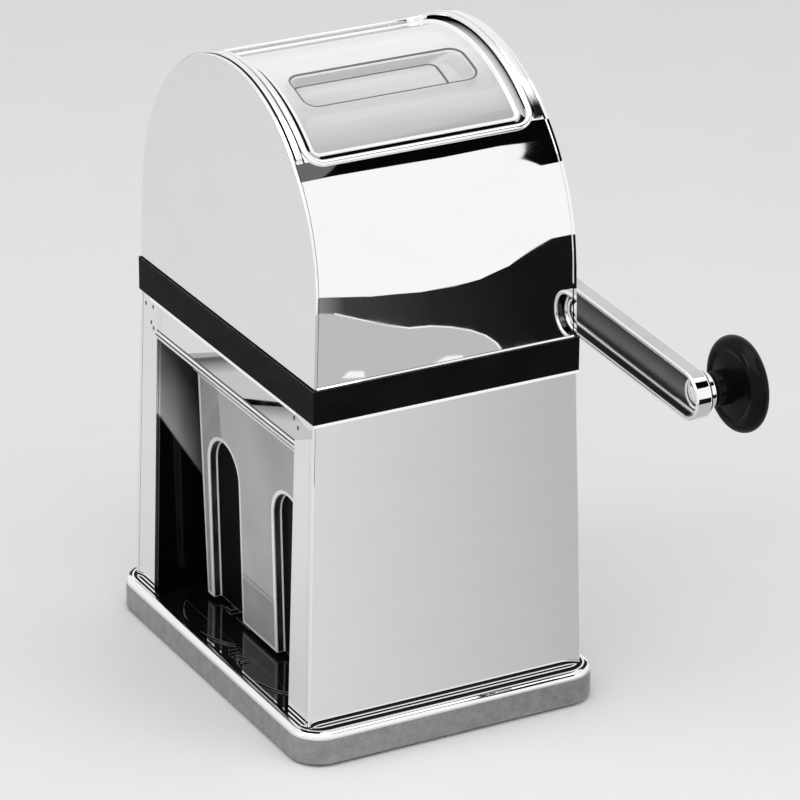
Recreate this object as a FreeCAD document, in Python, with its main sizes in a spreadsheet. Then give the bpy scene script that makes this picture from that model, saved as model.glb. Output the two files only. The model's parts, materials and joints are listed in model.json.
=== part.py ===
import FreeCAD, Part
import math
import operator
import os
from types import SimpleNamespace

import Sketcher

# Hand-cranked ice shaver.
#
# Frame: millimetres, +Z up, origin on the table under the middle of the base tray. X runs along the
# rotor, with the crank at the +X end and the container drawn out at the -X end. The plain front is at
# -Y. The sliding lid turns about the axis of the arched top, which is parallel to X.

DOCUMENT = FreeCAD.newDocument("IceShaver")
V = FreeCAD.Vector
X_AXIS = V(1, 0, 0)

# Driving dimensions in millimetres, and in degrees where the name says draft, angle, travel or droop.
DIMENSIONS = {
    # tray, floor and feet
    "tray_end_ledge": 5.75,
    "tray_side_ledge": 7.65,
    "tray_height": 13.5,
    "tray_corner": 13.0,
    "tray_bevel": 3.0,
    "tray_wall": 1.6,
    "tray_end_rim": 2.6,
    "tray_side_rim": 11.8,
    "window_corner": 3.0,
    "foot_lift": 1.0,
    "foot_radius": 8.0,
    "foot_thickness": 4.0,
    "foot_inset": 19.0,
    "foot_screw_radius": 1.8,
    "foot_screw_head": 3.8,
    "screw_clearance": 0.3,
    "floor_thickness": 2.5,
    "floor_skirt": 2.0,
    "lug_radius": 37.0,
    "lug_reach": 8.0,
    "lug_rise": 1.0,
    "lug_offset": 24.0,
    "lug_rib_width": 1.2,
    "lug_rib_pitch": 2.8,
    "runner_rise": 1.8,
    "runner_width": 4.0,
    "runner_offset": 30.0,
    # lower cabinet
    "cabinet_length": 122.0,
    "cabinet_width": 156.2,
    "lower_height": 127.5,
    "end_draft": 1.5,
    "side_draft": 0.9,
    "sheet_wall": 1.0,
    "fold_width": 2.8,
    "seam_gap": 0.2,
    "bay_width": 121.0,
    "header_height": 14.5,
    "header_recess": 1.2,
    "lip_radius": 1.6,
    "bay_return": 7.0,
    "liner_wall": 1.5,
    # middle frame
    "band_height": 14.0,
    "band_proud": 0.4,
    "band_wall": 3.0,
    "spigot_height": 8.0,
    "spigot_wall": 2.5,
    "deck_rise": 4.0,
    "deck_thickness": 3.5,
    "bearing_radius": 12.0,
    "bush_wall": 2.0,
    "chute_wall": 1.5,
    "chute_drop": 28.5,
    "chute_neck": 21.0,
    "chute_mouth": 24.0,
    # arched housing
    "housing_step": 0.9,
    "spring_rise": 31.0,
    "plate_wall": 1.2,
    "plate_proud": 0.5,
    # opening, rim, side bands, lid and tracks
    "opening_side_gap": 0.7,
    "opening_front_angle": 44.0,
    "opening_rear_angle": 118.0,
    "opening_corner": 6.0,
    "rim_width": 3.3,
    "rim_rise": 1.1,
    "side_band_width": 2.0,
    "side_band_rise": 1.6,
    "side_band_front_angle": 45.0,
    "side_band_rear_angle": 135.0,
    "lid_thickness": 2.4,
    "lid_overlap": 2.7,
    "lid_end_overlap": 2.0,
    "lid_bead_rise": 1.2,
    "lid_bead_width": 2.0,
    "lid_bead_inset": 1.8,
    "lid_travel": 56.0,
    "recess_length": 74.0,
    "recess_width": 20.0,
    "recess_depth": 4.4,
    "recess_angle": 71.5,
    "recess_corner": 5.0,
    "track_lip": 0.4,
    "track_wall": 1.5,
    "track_depth": 6.1,
    "track_front_angle": 38.0,
    # hopper
    "hopper_half_width": 57.0,
    "hopper_neck": 12.5,
    "hopper_shoulder": 3.0,
    "hopper_top_gap": 1.7,
    # rotor, combs and shaft
    "cutter_radius": 24.0,
    "cutter_root": 15.0,
    "cutter_thickness": 3.0,
    "cutter_pitch": 15.0,
    "cutter_gap": 4.0,
    "spacer_radius": 8.0,
    "end_spacer": 4.9,
    "shaft_side": 10.0,
    "shaft_radius": 5.0,
    "comb_thickness": 2.5,
    "comb_depth": 17.0,
    "finger_base": 7.5,
    "finger_tip": 5.0,
    "comb_screw_radius": 2.0,
    # crank and knob
    "crank_reach": 120.0,
    "crank_offset": 79.0,
    "crank_droop": 2.5,
    "arm_width": 20.0,
    "arm_thickness": 8.0,
    "arm_channel": 5.0,
    "arm_wall": 1.8,
    "collar_radius": 11.0,
    "collar_thickness": 4.0,
    "hub_radius": 7.9,
    "drive_side": 7.0,
    "cap_radius": 7.0,
    "pin_radius": 3.5,
    "ferrule_radius": 7.6,
    "ferrule_length": 3.6,
    "knob_radius": 19.3,
    "knob_stem_radius": 7.0,
    "knob_stem_length": 8.0,
    "knob_head": 13.0,
    "knob_rim": 4.0,
    # container
    "container_back_gap": 1.6,
    "container_width": 94.6,
    "container_head_gap": 3.7,
    "container_draft": 1.35,
    "container_wall": 2.0,
    "container_setback": 18.0,
    "container_rim": 1.5,
    "flute_width": 26.0,
    "flute_spacing": 57.0,
    "flute_height": 75.5,
    "flute_foot": -0.5,
    "flute_depth": 3.5,
    # clearances
    "bush_clearance": 0.05,
    "close_gap": 0.1,
    "slide_gap": 0.3,
}
DISC_COUNT = 6
LUG_RIB_COUNT = 5
TOOTH_COUNT = 5

SIGNS = {"+": operator.add, "-": operator.sub, "*": operator.mul, "/": operator.truediv}


class Size:
    """A length or angle as a formula over the sheet, with its present value."""

    def __init__(self, formula, value):
        self.formula = formula
        self.value = value

    def __add__(self, other):
        return joined(self, "+", other)

    def __radd__(self, other):
        return joined(other, "+", self)

    def __sub__(self, other):
        return joined(self, "-", other)

    def __rsub__(self, other):
        return joined(other, "-", self)

    def __mul__(self, other):
        return joined(self, "*", other)

    def __rmul__(self, other):
        return joined(other, "*", self)

    def __truediv__(self, other):
        return joined(self, "/", other)

    def __neg__(self):
        return joined(0, "-", self)


def as_size(number):
    """Return a Size for a plain number or a Size."""
    return number if isinstance(number, Size) else Size(repr(float(number)), float(number))


def joined(left, sign, right):
    """Return the Size that two sizes make with an arithmetic sign."""
    left, right = as_size(left), as_size(right)
    return Size(f"({left.formula} {sign} {right.formula})", SIGNS[sign](left.value, right.value))


def sine(angle):
    """Return the sine of an angle in degrees."""
    angle = as_size(angle)
    return Size(f"sin({angle.formula})", math.sin(math.radians(angle.value)))


def cosine(angle):
    """Return the cosine of an angle in degrees."""
    angle = as_size(angle)
    return Size(f"cos({angle.formula})", math.cos(math.radians(angle.value)))


def tangent(angle):
    """Return the tangent of an angle in degrees."""
    angle = as_size(angle)
    return Size(f"tan({angle.formula})", math.tan(math.radians(angle.value)))


def root(number):
    """Return the square root of a size."""
    return Size(f"sqrt({number.formula})", math.sqrt(number.value))


def fill_sheet():
    """Write the driving dimensions into the sheet and return them by name."""
    sheet = DOCUMENT.addObject("Spreadsheet::Sheet", "Sizes")
    sizes = SimpleNamespace()
    for row, (alias, number) in enumerate(DIMENSIONS.items(), start=1):
        sheet.set(f"A{row}", str(number))
        sheet.setAlias(f"A{row}", alias)
        setattr(sizes, alias, Size(f"Sizes.{alias}", number))
    DOCUMENT.recompute()
    return sizes


S = fill_sheet()

# ---------------------------------------------------------------- derived levels and widths

tray_top = S.foot_lift + S.tray_height
tray_half_x = S.cabinet_length / 2 + S.tray_end_ledge
tray_half_y = S.cabinet_width / 2 + S.tray_side_ledge
floor_top = tray_top - S.tray_wall
band_bottom = tray_top + S.lower_height
band_top = band_bottom + S.band_height
axis_z = band_bottom + S.band_height / 2
arch_z = band_top + S.spring_rise


def end_x(height, inset=0):
    """Half length of the leaning ends at a height, less an inset."""
    return S.cabinet_length / 2 - inset - tangent(S.end_draft) * (height - tray_top)


def side_y(height, inset=0):
    """Half width of the leaning front and rear at a height, less an inset."""
    return S.cabinet_width / 2 - inset - tangent(S.side_draft) * (height - tray_top)


def both(half):
    """Return the span from minus a half size to plus it."""
    return (-half, half)


arch_radius = side_y(band_top) - S.housing_step
shell_inner = arch_radius - S.sheet_wall
band_half_x = end_x(band_bottom) + S.band_proud
band_half_y = side_y(band_bottom) + S.band_proud
spigot_half_x = end_x(band_top + S.spigot_height, S.plate_wall) - S.slide_gap
spigot_half_y = shell_inner - S.slide_gap
lower_spigot_x = end_x(band_bottom, S.header_recess + S.sheet_wall) - S.slide_gap
spigot_bottom = band_bottom - S.spigot_height
liner_inset = S.sheet_wall + S.slide_gap
bay_half = S.bay_width / 2
bay_top = band_bottom - S.header_height

stack_half = S.cutter_pitch * ((DISC_COUNT - 1) / 2) + S.cutter_thickness / 2
mouth_half_x = stack_half + S.end_spacer + S.close_gap + 0.5
mouth_half_y = S.cutter_radius + S.cutter_gap
deck_top = axis_z + S.deck_rise
comb_top = deck_top + S.comb_thickness
bearing_start = mouth_half_x + S.chute_wall
bearing_end = spigot_half_x - S.spigot_wall
bush_radius = S.shaft_radius + S.bush_clearance + S.bush_wall
shaft_tip = bearing_end - 0.6
collar_end = band_half_x + S.collar_thickness
arm_web = S.crank_offset + S.arm_channel
arm_face = S.crank_offset + S.arm_thickness

opening_half = (end_x(arch_z + arch_radius, S.plate_wall) - S.side_band_width - S.opening_side_gap
                - S.rim_width)
opening_middle = (S.opening_front_angle + S.opening_rear_angle) / 2
opening_half_angle = (S.opening_rear_angle - S.opening_front_angle) / 2
opening_chord = arch_radius * sine(opening_half_angle)
lid_outer = shell_inner - S.slide_gap - S.lid_bead_rise
lid_inner = lid_outer - S.lid_thickness
lid_half = opening_half + S.lid_overlap
lid_sweep = (opening_half_angle + S.lid_end_overlap) * 2
recess_floor = lid_outer - S.recess_depth
hopper_arch = recess_floor - S.lid_thickness * 0.75 - S.hopper_top_gap

knob_y = -S.crank_reach * cosine(S.crank_droop)
knob_z = axis_z - S.crank_reach * sine(S.crank_droop)
knob_start = arm_face + S.ferrule_length + S.slide_gap

container_floor = floor_top + S.runner_rise + S.close_gap
container_top = axis_z - S.chute_drop - S.container_head_gap
container_face = -end_x(container_floor) + S.container_setback
container_lean = tangent(S.container_draft)
container_back = (end_x(container_top, liner_inset + S.liner_wall) - S.container_back_gap - S.container_rim
                  - container_lean * (container_top - container_floor))

# ---------------------------------------------------------------- primitives and booleans


def bind(thing, **formulas):
    """Bind properties of an object to formulas over the sheet."""
    for name, size in formulas.items():
        thing.setExpression(name.replace("__", "."), as_size(size).formula)
    return thing


def place(thing, x=0, y=0, z=0, turn=None):
    """Bind an object's position, and its turn about the X axis."""
    if turn is not None:
        thing.Placement = FreeCAD.Placement(V(), FreeCAD.Rotation(X_AXIS, as_size(turn).value))
        bind(thing, Placement__Rotation__Angle=turn)
    return bind(thing, Placement__Base__x=x, Placement__Base__y=y, Placement__Base__z=z)


def box(name, x_span, y_span, z_span):
    """Box between three pairs of coordinates."""
    block = DOCUMENT.addObject("Part::Box", name)
    bind(block, Length=x_span[1] - x_span[0], Width=y_span[1] - y_span[0], Height=z_span[1] - z_span[0])
    return place(block, x_span[0], y_span[0], z_span[0])


def rod_x(name, radius, x_span, y=0, z=0):
    """Cylinder along X."""
    rod = DOCUMENT.addObject("Part::Cylinder", name)
    rod.Placement.Rotation = FreeCAD.Rotation(V(0, 1, 0), 90)
    bind(rod, Radius=radius, Height=x_span[1] - x_span[0])
    return place(rod, x_span[0], y, z)


def rod_y(name, radius, y_span, x, z):
    """Cylinder along Y."""
    rod = DOCUMENT.addObject("Part::Cylinder", name)
    rod.Placement.Rotation = FreeCAD.Rotation(X_AXIS, -90)
    bind(rod, Radius=radius, Height=y_span[1] - y_span[0])
    return place(rod, x, y_span[0], z)


def rod_z(name, radius, z_span, x=0, y=0):
    """Cylinder along Z."""
    rod = DOCUMENT.addObject("Part::Cylinder", name)
    bind(rod, Radius=radius, Height=z_span[1] - z_span[0])
    return place(rod, x, y, z_span[0])


def taper_block(name, z_span, x_span, y_span):
    """Block between two heights whose x and y spans are functions of the height."""
    block = DOCUMENT.addObject("Part::Wedge", name)
    block.Placement.Rotation = FreeCAD.Rotation(X_AXIS, 90)
    x_low, x_high = x_span(z_span[0]), x_span(z_span[1])
    y_low, y_high = y_span(z_span[0]), y_span(z_span[1])
    bind(block, Ymin=z_span[0], Ymax=z_span[1])
    bind(block, Xmin=x_low[0], Xmax=x_low[1], X2min=x_high[0], X2max=x_high[1])
    return bind(block, Zmin=-y_low[1], Zmax=-y_low[0], Z2min=-y_high[1], Z2max=-y_high[0])


def fuse(name, *pieces):
    """One solid from several that touch, or a node of several solids that don't."""
    union = DOCUMENT.addObject("Part::MultiFuse", name)
    union.Shapes = list(pieces)
    union.Refine = True
    return union


def cut(name, base, *tools):
    """The base less every tool."""
    result = DOCUMENT.addObject("Part::Cut", name)
    result.Base = base
    result.Tool = tools[0] if len(tools) == 1 else fuse(name + "_tools", *tools)
    result.Refine = True
    return result


def common(name, first, second):
    """What two shapes share."""
    result = DOCUMENT.addObject("Part::Common", name)
    result.Base = first
    result.Tool = second
    result.Refine = True
    return result


def group(name, *pieces):
    """Separate solids kept together as one node."""
    bundle = DOCUMENT.addObject("Part::Compound", name)
    bundle.Links = list(pieces)
    return bundle


def arch_block(name, radius, x_span, bottom):
    """Solid with an arched top of a radius about the arch axis and straight sides down to a height."""
    arch = DOCUMENT.addObject("Part::Cylinder", name + "_arch")
    arch.Placement.Rotation = FreeCAD.Rotation(V(0, -1, 0), V(0, 0, 1), V(-1, 0, 0))
    arch.Angle = 180
    bind(arch, Radius=radius, Height=x_span[1] - x_span[0])
    place(arch, x_span[1], 0, arch_z)
    sides = box(name + "_sides", x_span, both(radius), (bottom, arch_z))
    return fuse(name, arch, sides)


# ---------------------------------------------------------------- bodies and sketches


def new_body(name):
    """Empty PartDesign body."""
    return DOCUMENT.addObject("PartDesign::Body", name)


def new_sketch(body, plane, name):
    """Sketch on one of a body's origin planes, such as YZ_Plane."""
    sketch = body.newObject("Sketcher::SketchObject", name)
    support = [feature for feature in body.Origin.OriginFeatures if feature.Role == plane]
    sketch.AttachmentSupport = [(support[0], "")]
    sketch.MapMode = "FlatFace"
    return sketch


def hold(sketch, kind, arguments, size, name):
    """Add a named dimension to a sketch and bind it to a size."""
    index = sketch.addConstraint(Sketcher.Constraint(kind, *arguments, size.value))
    sketch.renameConstraint(index, name)
    sketch.setExpression("Constraints." + name, size.formula)


class Curve:
    """An arc of an outline: its centre, its sense, and which coordinate of the centre is held."""

    def __init__(self, centre, clockwise, held):
        self.centre = (as_size(centre[0]), as_size(centre[1]))
        self.clockwise = clockwise
        self.held = held

    def through(self, start, end):
        """The arc from one point to another about the centre."""
        middle = V(self.centre[0].value, self.centre[1].value, 0)
        first = math.atan2(start.y - middle.y, start.x - middle.x)
        last = math.atan2(end.y - middle.y, end.x - middle.x)
        if self.clockwise and last >= first:
            last -= 2 * math.pi
        if not self.clockwise and last <= first:
            last += 2 * math.pi
        half = (first + last) / 2
        crest = middle + V(math.cos(half), math.sin(half), 0) * (start - middle).Length
        return Part.Arc(end, crest, start) if self.clockwise else Part.Arc(start, crest, end)


def draw_outline(sketch, points, curves=None):
    """Draw a closed outline; curves gives the arc that leaves a point, by the point's number."""
    curves = curves or {}
    points = [(as_size(u), as_size(v)) for u, v in points]
    corners = [V(u.value, v.value, 0) for u, v in points]
    count = len(corners)
    first = sketch.GeometryCount
    ends = []
    for number, start in enumerate(corners):
        end = corners[(number + 1) % count]
        if number in curves:
            sketch.addGeometry(curves[number].through(start, end), False)
            swapped = (sketch.Geometry[-1].StartPoint - start).Length > 1e-6
            ends.append((2, 1) if swapped else (1, 2))
        else:
            sketch.addGeometry(Part.LineSegment(start, end), False)
            ends.append((1, 2))
    for number in range(count):
        after = (number + 1) % count
        sketch.addConstraint(
            Sketcher.Constraint("Coincident", first + number, ends[number][1], first + after, ends[after][0]))
    for number, (u, v) in enumerate(points):
        tag = f"{first}_{number}"
        where = (-1, 1, first + number, ends[number][0])
        hold(sketch, "DistanceX", where, u, "u" + tag)
        hold(sketch, "DistanceY", where, v, "v" + tag)
    for number, curve in curves.items():
        side = 0 if curve.held == "u" else 1
        kind = ("DistanceX", "DistanceY")[side]
        where = (-1, 1, first + number, 3)
        hold(sketch, kind, where, curve.centre[side], f"centre{first}_{number}")


def draw_circle(sketch, radius):
    """Draw a circle about the sketch's origin."""
    number = sketch.GeometryCount
    sketch.addGeometry(Part.Circle(V(), V(0, 0, 1), radius.value), False)
    sketch.addConstraint(Sketcher.Constraint("Coincident", number, 3, -1, 1))
    hold(sketch, "Radius", (number,), radius, f"radius{number}")


def rectangle(u_span, v_span):
    """Corners of a rectangle."""
    return [(u_span[0], v_span[0]), (u_span[1], v_span[0]), (u_span[1], v_span[1]), (u_span[0], v_span[1])]


def pad(body, sketch, length, symmetric=False):
    """Pad a sketch along its normal, or half each way."""
    feature = body.newObject("PartDesign::Pad", sketch.Name + "_pad")
    feature.Profile = sketch
    feature.SideType = "Symmetric" if symmetric else "One side"
    return bind(feature, Length=length)


def pocket(body, sketch, depth, symmetric=False, along_normal=False):
    """Cut a sketch against its normal, along it, or half each way."""
    feature = body.newObject("PartDesign::Pocket", sketch.Name + "_pocket")
    feature.Profile = sketch
    feature.SideType = "Symmetric" if symmetric else "One side"
    feature.Reversed = along_normal
    return bind(feature, Length=depth)


def revolve(body, sketch, angle=360, symmetric=False):
    """Turn a sketch about its own horizontal axis."""
    feature = body.newObject("PartDesign::Revolution", sketch.Name + "_turned")
    feature.Profile = sketch
    feature.ReferenceAxis = (sketch, ["H_Axis"])
    feature.Midplane = symmetric
    return bind(feature, Angle=angle)


def round_edges(body, feature, radius, chosen):
    """Round the edges of a feature that a test picks."""
    DOCUMENT.recompute()
    names = [f"Edge{i}" for i, edge in enumerate(feature.Shape.Edges, start=1) if chosen(edge)]
    fillet = body.newObject("PartDesign::Fillet", feature.Name + "_round")
    fillet.Base = (feature, names)
    bind(fillet, Radius=radius)
    return fillet


def is_upright(edge):
    """Whether an edge runs along Z."""
    box_of = edge.BoundBox
    return box_of.XLength < 1e-6 and box_of.YLength < 1e-6


def at_height(height):
    """Test for edges that lie flat at a height in their own body."""
    return lambda edge: edge.BoundBox.ZLength < 1e-6 and abs(edge.BoundBox.ZMax - height.value) < 1e-6


def rounded_block(name, x_span, y_span, height, corner, top_round=None):
    """Body standing on its own XY plane, with rounded upright corners and maybe a rounded top."""
    body = new_body(name)
    sketch = new_sketch(body, "XY_Plane", name + "_plan")
    draw_outline(sketch, rectangle(x_span, y_span))
    tip = pad(body, sketch, height)
    tip = round_edges(body, tip, corner, is_upright)
    if top_round is not None:
        tip = round_edges(body, tip, top_round, at_height(as_size(height)))
    body.Tip = tip
    return body


def outline_prism(name, points, length):
    """Body with an outline in the YZ plane, half its length each way along X."""
    body = new_body(name)
    sketch = new_sketch(body, "YZ_Plane", name + "_outline")
    draw_outline(sketch, points)
    pad(body, sketch, length, symmetric=True)
    return body


def swept_bar(name, x_span, r_span, front_angle, rear_angle):
    """Bar of rectangular section bent about the arch axis between two angles from the front."""
    body = new_body(name)
    sketch = new_sketch(body, "XZ_Plane", name + "_section")
    draw_outline(sketch, rectangle(x_span, r_span))
    revolve(body, sketch, rear_angle - front_angle, symmetric=True)
    return place(body, 0, 0, arch_z, turn=90 - (front_angle + rear_angle) / 2)


def mirrored_points(points):
    """Close an outline, given for +u from bottom to top, by its mirror image in -u."""
    return points + [(-u, v) for u, v in reversed(points)]


PARTS = {}


def keep(name, thing):
    """Label an object as a node that is written out."""
    thing.Label = name
    PARTS[name] = thing
    return thing


# ---------------------------------------------------------------- tray, floor and feet


def make_tray():
    """Chromed tray with a bevelled rim, open over the floor."""
    half_x, half_y = tray_half_x, tray_half_y
    block = rounded_block("tray_block", both(half_x), both(half_y), S.tray_height, S.tray_corner, S.tray_bevel)
    place(block, 0, 0, S.foot_lift)
    hollow_x, hollow_y = half_x - S.tray_wall, half_y - S.tray_wall
    inner_corner = S.tray_corner - S.tray_wall
    hollow = rounded_block("tray_hollow", both(hollow_x), both(hollow_y), S.tray_height, inner_corner)
    place(hollow, 0, 0, S.foot_lift - S.tray_wall)
    window_x = (S.tray_end_rim - half_x, half_x - S.tray_side_rim)
    window_y = both(half_y - S.tray_side_rim)
    window = rounded_block("tray_window", window_x, window_y, S.tray_height, S.window_corner)
    place(window, 0, 0, S.foot_lift + S.tray_wall)
    return keep("base_tray", cut("base_tray", block, hollow, window))


def corner_places(inset):
    """The four places inset from the tray's corners."""
    far_x, far_y = tray_half_x - inset, tray_half_y - inset
    return [(x, y) for x in (-far_x, far_x) for y in (-far_y, far_y)]


def make_floor():
    """Moulded floor under the tray, with lugs, runners for the container and bosses for the feet."""
    half_x = tray_half_x - S.tray_wall - S.slide_gap
    half_y = tray_half_y - S.tray_wall - S.slide_gap
    corner = S.tray_corner - S.tray_wall - S.slide_gap
    skirt_bottom = S.foot_lift + 0.5
    plate_bottom = floor_top - S.floor_thickness
    block = rounded_block("floor_block", both(half_x), both(half_y), floor_top - skirt_bottom, corner)
    place(block, 0, 0, skirt_bottom)
    inner_x, inner_y = half_x - S.floor_skirt, half_y - S.floor_skirt
    hollow = rounded_block(
        "floor_hollow", both(inner_x), both(inner_y), plate_bottom - skirt_bottom + 1, corner - S.floor_skirt)
    place(hollow, 0, 0, skirt_bottom - 1)
    pieces = [cut("floor_plate", block, hollow)]
    for number, (x, y) in enumerate(corner_places(S.foot_inset)):
        boss = rod_z(f"floor_boss_{number}", S.foot_radius, (S.foot_thickness, plate_bottom + 0.5), x, y)
        pieces.append(boss)
    lug_tip = tray_half_x - S.tray_end_rim - 3
    for number, side in enumerate((-1, 1)):
        centre = S.lug_offset * side
        disc = rod_z(f"lug_disc_{number}", S.lug_radius, (plate_bottom, floor_top + S.lug_rise),
                     S.lug_radius - lug_tip, centre)
        front = box(f"lug_front_{number}", (-lug_tip, S.lug_reach - lug_tip), both(tray_half_y),
                    (plate_bottom, floor_top + S.lug_rise))
        pieces.append(common(f"lug_{number}", disc, front))
        runner_y = S.runner_offset * side
        runner = box(f"runner_{number}", (container_face + 1, container_back - 2),
                     (runner_y - S.runner_width / 2, runner_y + S.runner_width / 2),
                     (floor_top - 1, floor_top + S.runner_rise))
        pieces.append(runner)
    for number in range(LUG_RIB_COUNT):
        rib_y = S.lug_rib_pitch * (number - LUG_RIB_COUNT) - S.lug_rib_width
        pieces.append(box(f"lug_rib_{number}", (S.lug_reach / 3 - lug_tip, S.lug_reach * 0.75 - lug_tip),
                          (rib_y, rib_y + S.lug_rib_width), (floor_top, floor_top + S.lug_rise * 1.7)))
    solid = fuse("floor_solid", *pieces)
    bore = S.foot_screw_radius + S.close_gap
    holes = [rod_z(f"floor_hole_{number}", bore, (0, plate_bottom), x, y)
             for number, (x, y) in enumerate(corner_places(S.foot_inset))]
    return keep("floor_pan", cut("floor_pan", solid, *holes))


def make_feet():
    """Rubber feet with a counterbore, each held by one screw."""
    seat = S.foot_thickness * 0.45
    feet, screws = [], []
    for number, (x, y) in enumerate(corner_places(S.foot_inset)):
        pad_block = rod_z(f"foot_{number}", S.foot_radius, (0, S.foot_thickness), x, y)
        bore = rod_z(f"foot_bore_{number}", S.foot_screw_radius + S.screw_clearance, (-1, S.foot_thickness + 1), x, y)
        sink = rod_z(f"foot_sink_{number}", S.foot_screw_head + S.screw_clearance, (-1, seat), x, y)
        feet.append(cut(f"foot_cut_{number}", pad_block, bore, sink))
        head = rod_z(f"foot_screw_head_{number}", S.foot_screw_head, (seat * 0.3, seat), x, y)
        shank = rod_z(f"foot_screw_shank_{number}", S.foot_screw_radius, (seat / 2, S.foot_thickness * 2), x, y)
        screws.append(fuse(f"foot_screw_{number}", head, shank))
    keep("rubber_feet", group("rubber_feet", *feet))
    keep("foot_screws", group("foot_screws", *screws))


# ---------------------------------------------------------------- lower cabinet


def sheet_block(name, z_span, inset):
    """The cabinet's leaning block, inset on all four sides."""
    return taper_block(name, z_span, lambda z: both(end_x(z, inset)), lambda z: both(side_y(z, inset)))


def make_panels():
    """Folded front and rear sheets, and the sheet that closes the crank end."""
    height = (tray_top, band_bottom)
    beyond = (tray_top - 1, band_bottom + 1)
    for name, side in (("front_panel", -1), ("rear_panel", 1)):
        strip = taper_block(
            name + "_strip", height, lambda z: both(end_x(z)),
            lambda z, side=side: sorted((side_y(z) * side, side_y(z, S.fold_width) * side), key=value_of))
        space = sheet_block(name + "_space", beyond, S.sheet_wall)
        keep(name, cut(name, strip, space))
    edge = S.fold_width + S.seam_gap
    keep("crank_end_panel", taper_block(
        "crank_end_panel", height, lambda z: (end_x(z, S.sheet_wall), end_x(z)),
        lambda z: both(side_y(z, edge))))


def value_of(size):
    """Present value of a size, for sorting."""
    return size.value


def make_bay_frame():
    """Stamped frame of the drawer end: two posts with inward returns, and a header with a rolled lip."""
    height = (tray_top, band_bottom)
    edge = S.fold_width + S.seam_gap
    plate = taper_block("bay_plate", height, lambda z: (-end_x(z), -end_x(z, S.sheet_wall)),
                        lambda z: both(side_y(z, edge)))
    gap = box("bay_gap", (-S.cabinet_length, 0), both(bay_half), (tray_top - 1, band_bottom + 1))
    pieces = [cut("bay_posts", plate, gap)]
    header_face = S.header_recess + S.sheet_wall
    return_top = spigot_bottom - S.slide_gap
    for number, span in enumerate(((bay_half, bay_half + S.sheet_wall), (-bay_half - S.sheet_wall, -bay_half))):
        pieces.append(taper_block(f"bay_return_{number}", (tray_top, return_top),
                                  lambda z: (-end_x(z), -end_x(z, S.bay_return)), lambda z, span=span: span))
        pieces.append(taper_block(f"bay_corner_{number}", (return_top - 1, band_bottom),
                                  lambda z: (-end_x(z), -end_x(z, header_face)), lambda z, span=span: span))
    pieces.append(taper_block("bay_header", (bay_top, band_bottom),
                              lambda z: (-end_x(z, S.header_recess), -end_x(z, header_face)),
                              lambda z: both(bay_half)))
    lip_z = bay_top - S.lip_radius / 2
    lip_x = -end_x(lip_z, S.header_recess + S.sheet_wall / 2)
    pieces.append(rod_y("bay_lip", S.lip_radius, both(bay_half), lip_x, lip_z))
    return keep("bay_frame", fuse("bay_frame", *pieces))


def make_liner():
    """Glossy lining of the drawer bay: a tunnel flush with the posts, open at the drawer end."""
    top = bay_top - S.lip_radius * 1.5 - S.slide_gap
    side = bay_half - S.slide_gap
    block = taper_block("liner_block", (floor_top, top),
                        lambda z: (-end_x(z, S.sheet_wall), end_x(z, liner_inset)), lambda z: both(side))
    space = taper_block("liner_space", (floor_top - 1, top + 1),
                        lambda z: (-end_x(z, -1), end_x(z, liner_inset + S.liner_wall)),
                        lambda z: both(side - S.liner_wall))
    ledge = box("liner_ledge", (tray_half_x - S.tray_side_rim - S.slide_gap, S.cabinet_length),
                both(S.cabinet_width), (floor_top - 1, tray_top))
    return keep("bay_liner", cut("bay_liner", block, space, ledge))


# ---------------------------------------------------------------- middle frame and chute


def make_mid_frame():
    """Moulded frame between cabinet and housing: band, spigots, deck and bearing blocks."""
    spigot_top = band_top + S.spigot_height
    band = box("band_block", both(band_half_x), both(band_half_y), (band_bottom, band_top))
    spigot = box("spigot_block", both(spigot_half_x), both(spigot_half_y), (band_bottom, spigot_top))
    skirt = box("skirt_block", both(lower_spigot_x), both(spigot_half_y), (spigot_bottom, band_bottom + 1))
    inner_x, inner_y = both(bearing_end), both(spigot_half_y - S.spigot_wall)
    deck_bottom = deck_top - S.deck_thickness
    upper = box("frame_upper", inner_x, inner_y, (deck_top, spigot_top + 1))
    lower = box("frame_lower", inner_x, inner_y, (spigot_bottom - 1, deck_bottom))
    slot_y = both(mouth_half_y + S.chute_wall + 1)
    throat = box("frame_throat", both(mouth_half_x), slot_y, (deck_bottom - 1, deck_top + 1))
    shell = cut("frame_shell", fuse("frame_block", band, spigot, skirt), upper, lower, throat)
    pieces = [shell]
    for number, side in enumerate((-1, 1)):
        span = sorted((bearing_start * side, (bearing_end + 0.5) * side), key=value_of)
        pieces.append(box(f"bearing_web_{number}", span, both(S.bearing_radius),
                          (deck_bottom - S.bearing_radius / 2, axis_z)))
        pieces.append(rod_x(f"bearing_boss_{number}", S.bearing_radius, span, 0, axis_z))
    solid = fuse("frame_solid", *pieces)
    bores = rod_x("frame_bores", bush_radius + S.close_gap / 2, both(bearing_end), 0, axis_z)
    axle_way = rod_x("frame_axle_way", S.shaft_radius + 1.5, (0, band_half_x + 1), 0, axis_z)
    holes = [rod_z(f"frame_screw_hole_{number}", S.comb_screw_radius + S.close_gap,
                   (deck_bottom - 1, deck_top + 1), x, y)
             for number, (x, y) in enumerate(comb_screw_places())]
    return keep("mid_frame", cut("mid_frame", solid, bores, axle_way, *holes))


def make_bushes():
    """Plain bushes of the rotor shaft, one in each bearing block."""
    for name, side in (("left_bush", -1), ("right_bush", 1)):
        span = sorted((bearing_start * side, bearing_end * side), key=value_of)
        longer = (span[0] - 1, span[1] + 1)
        sleeve = rod_x(name + "_sleeve", bush_radius, span, 0, axis_z)
        bore = rod_x(name + "_bore", S.shaft_radius + S.bush_clearance, longer, 0, axis_z)
        keep(name, cut(name, sleeve, bore))


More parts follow.
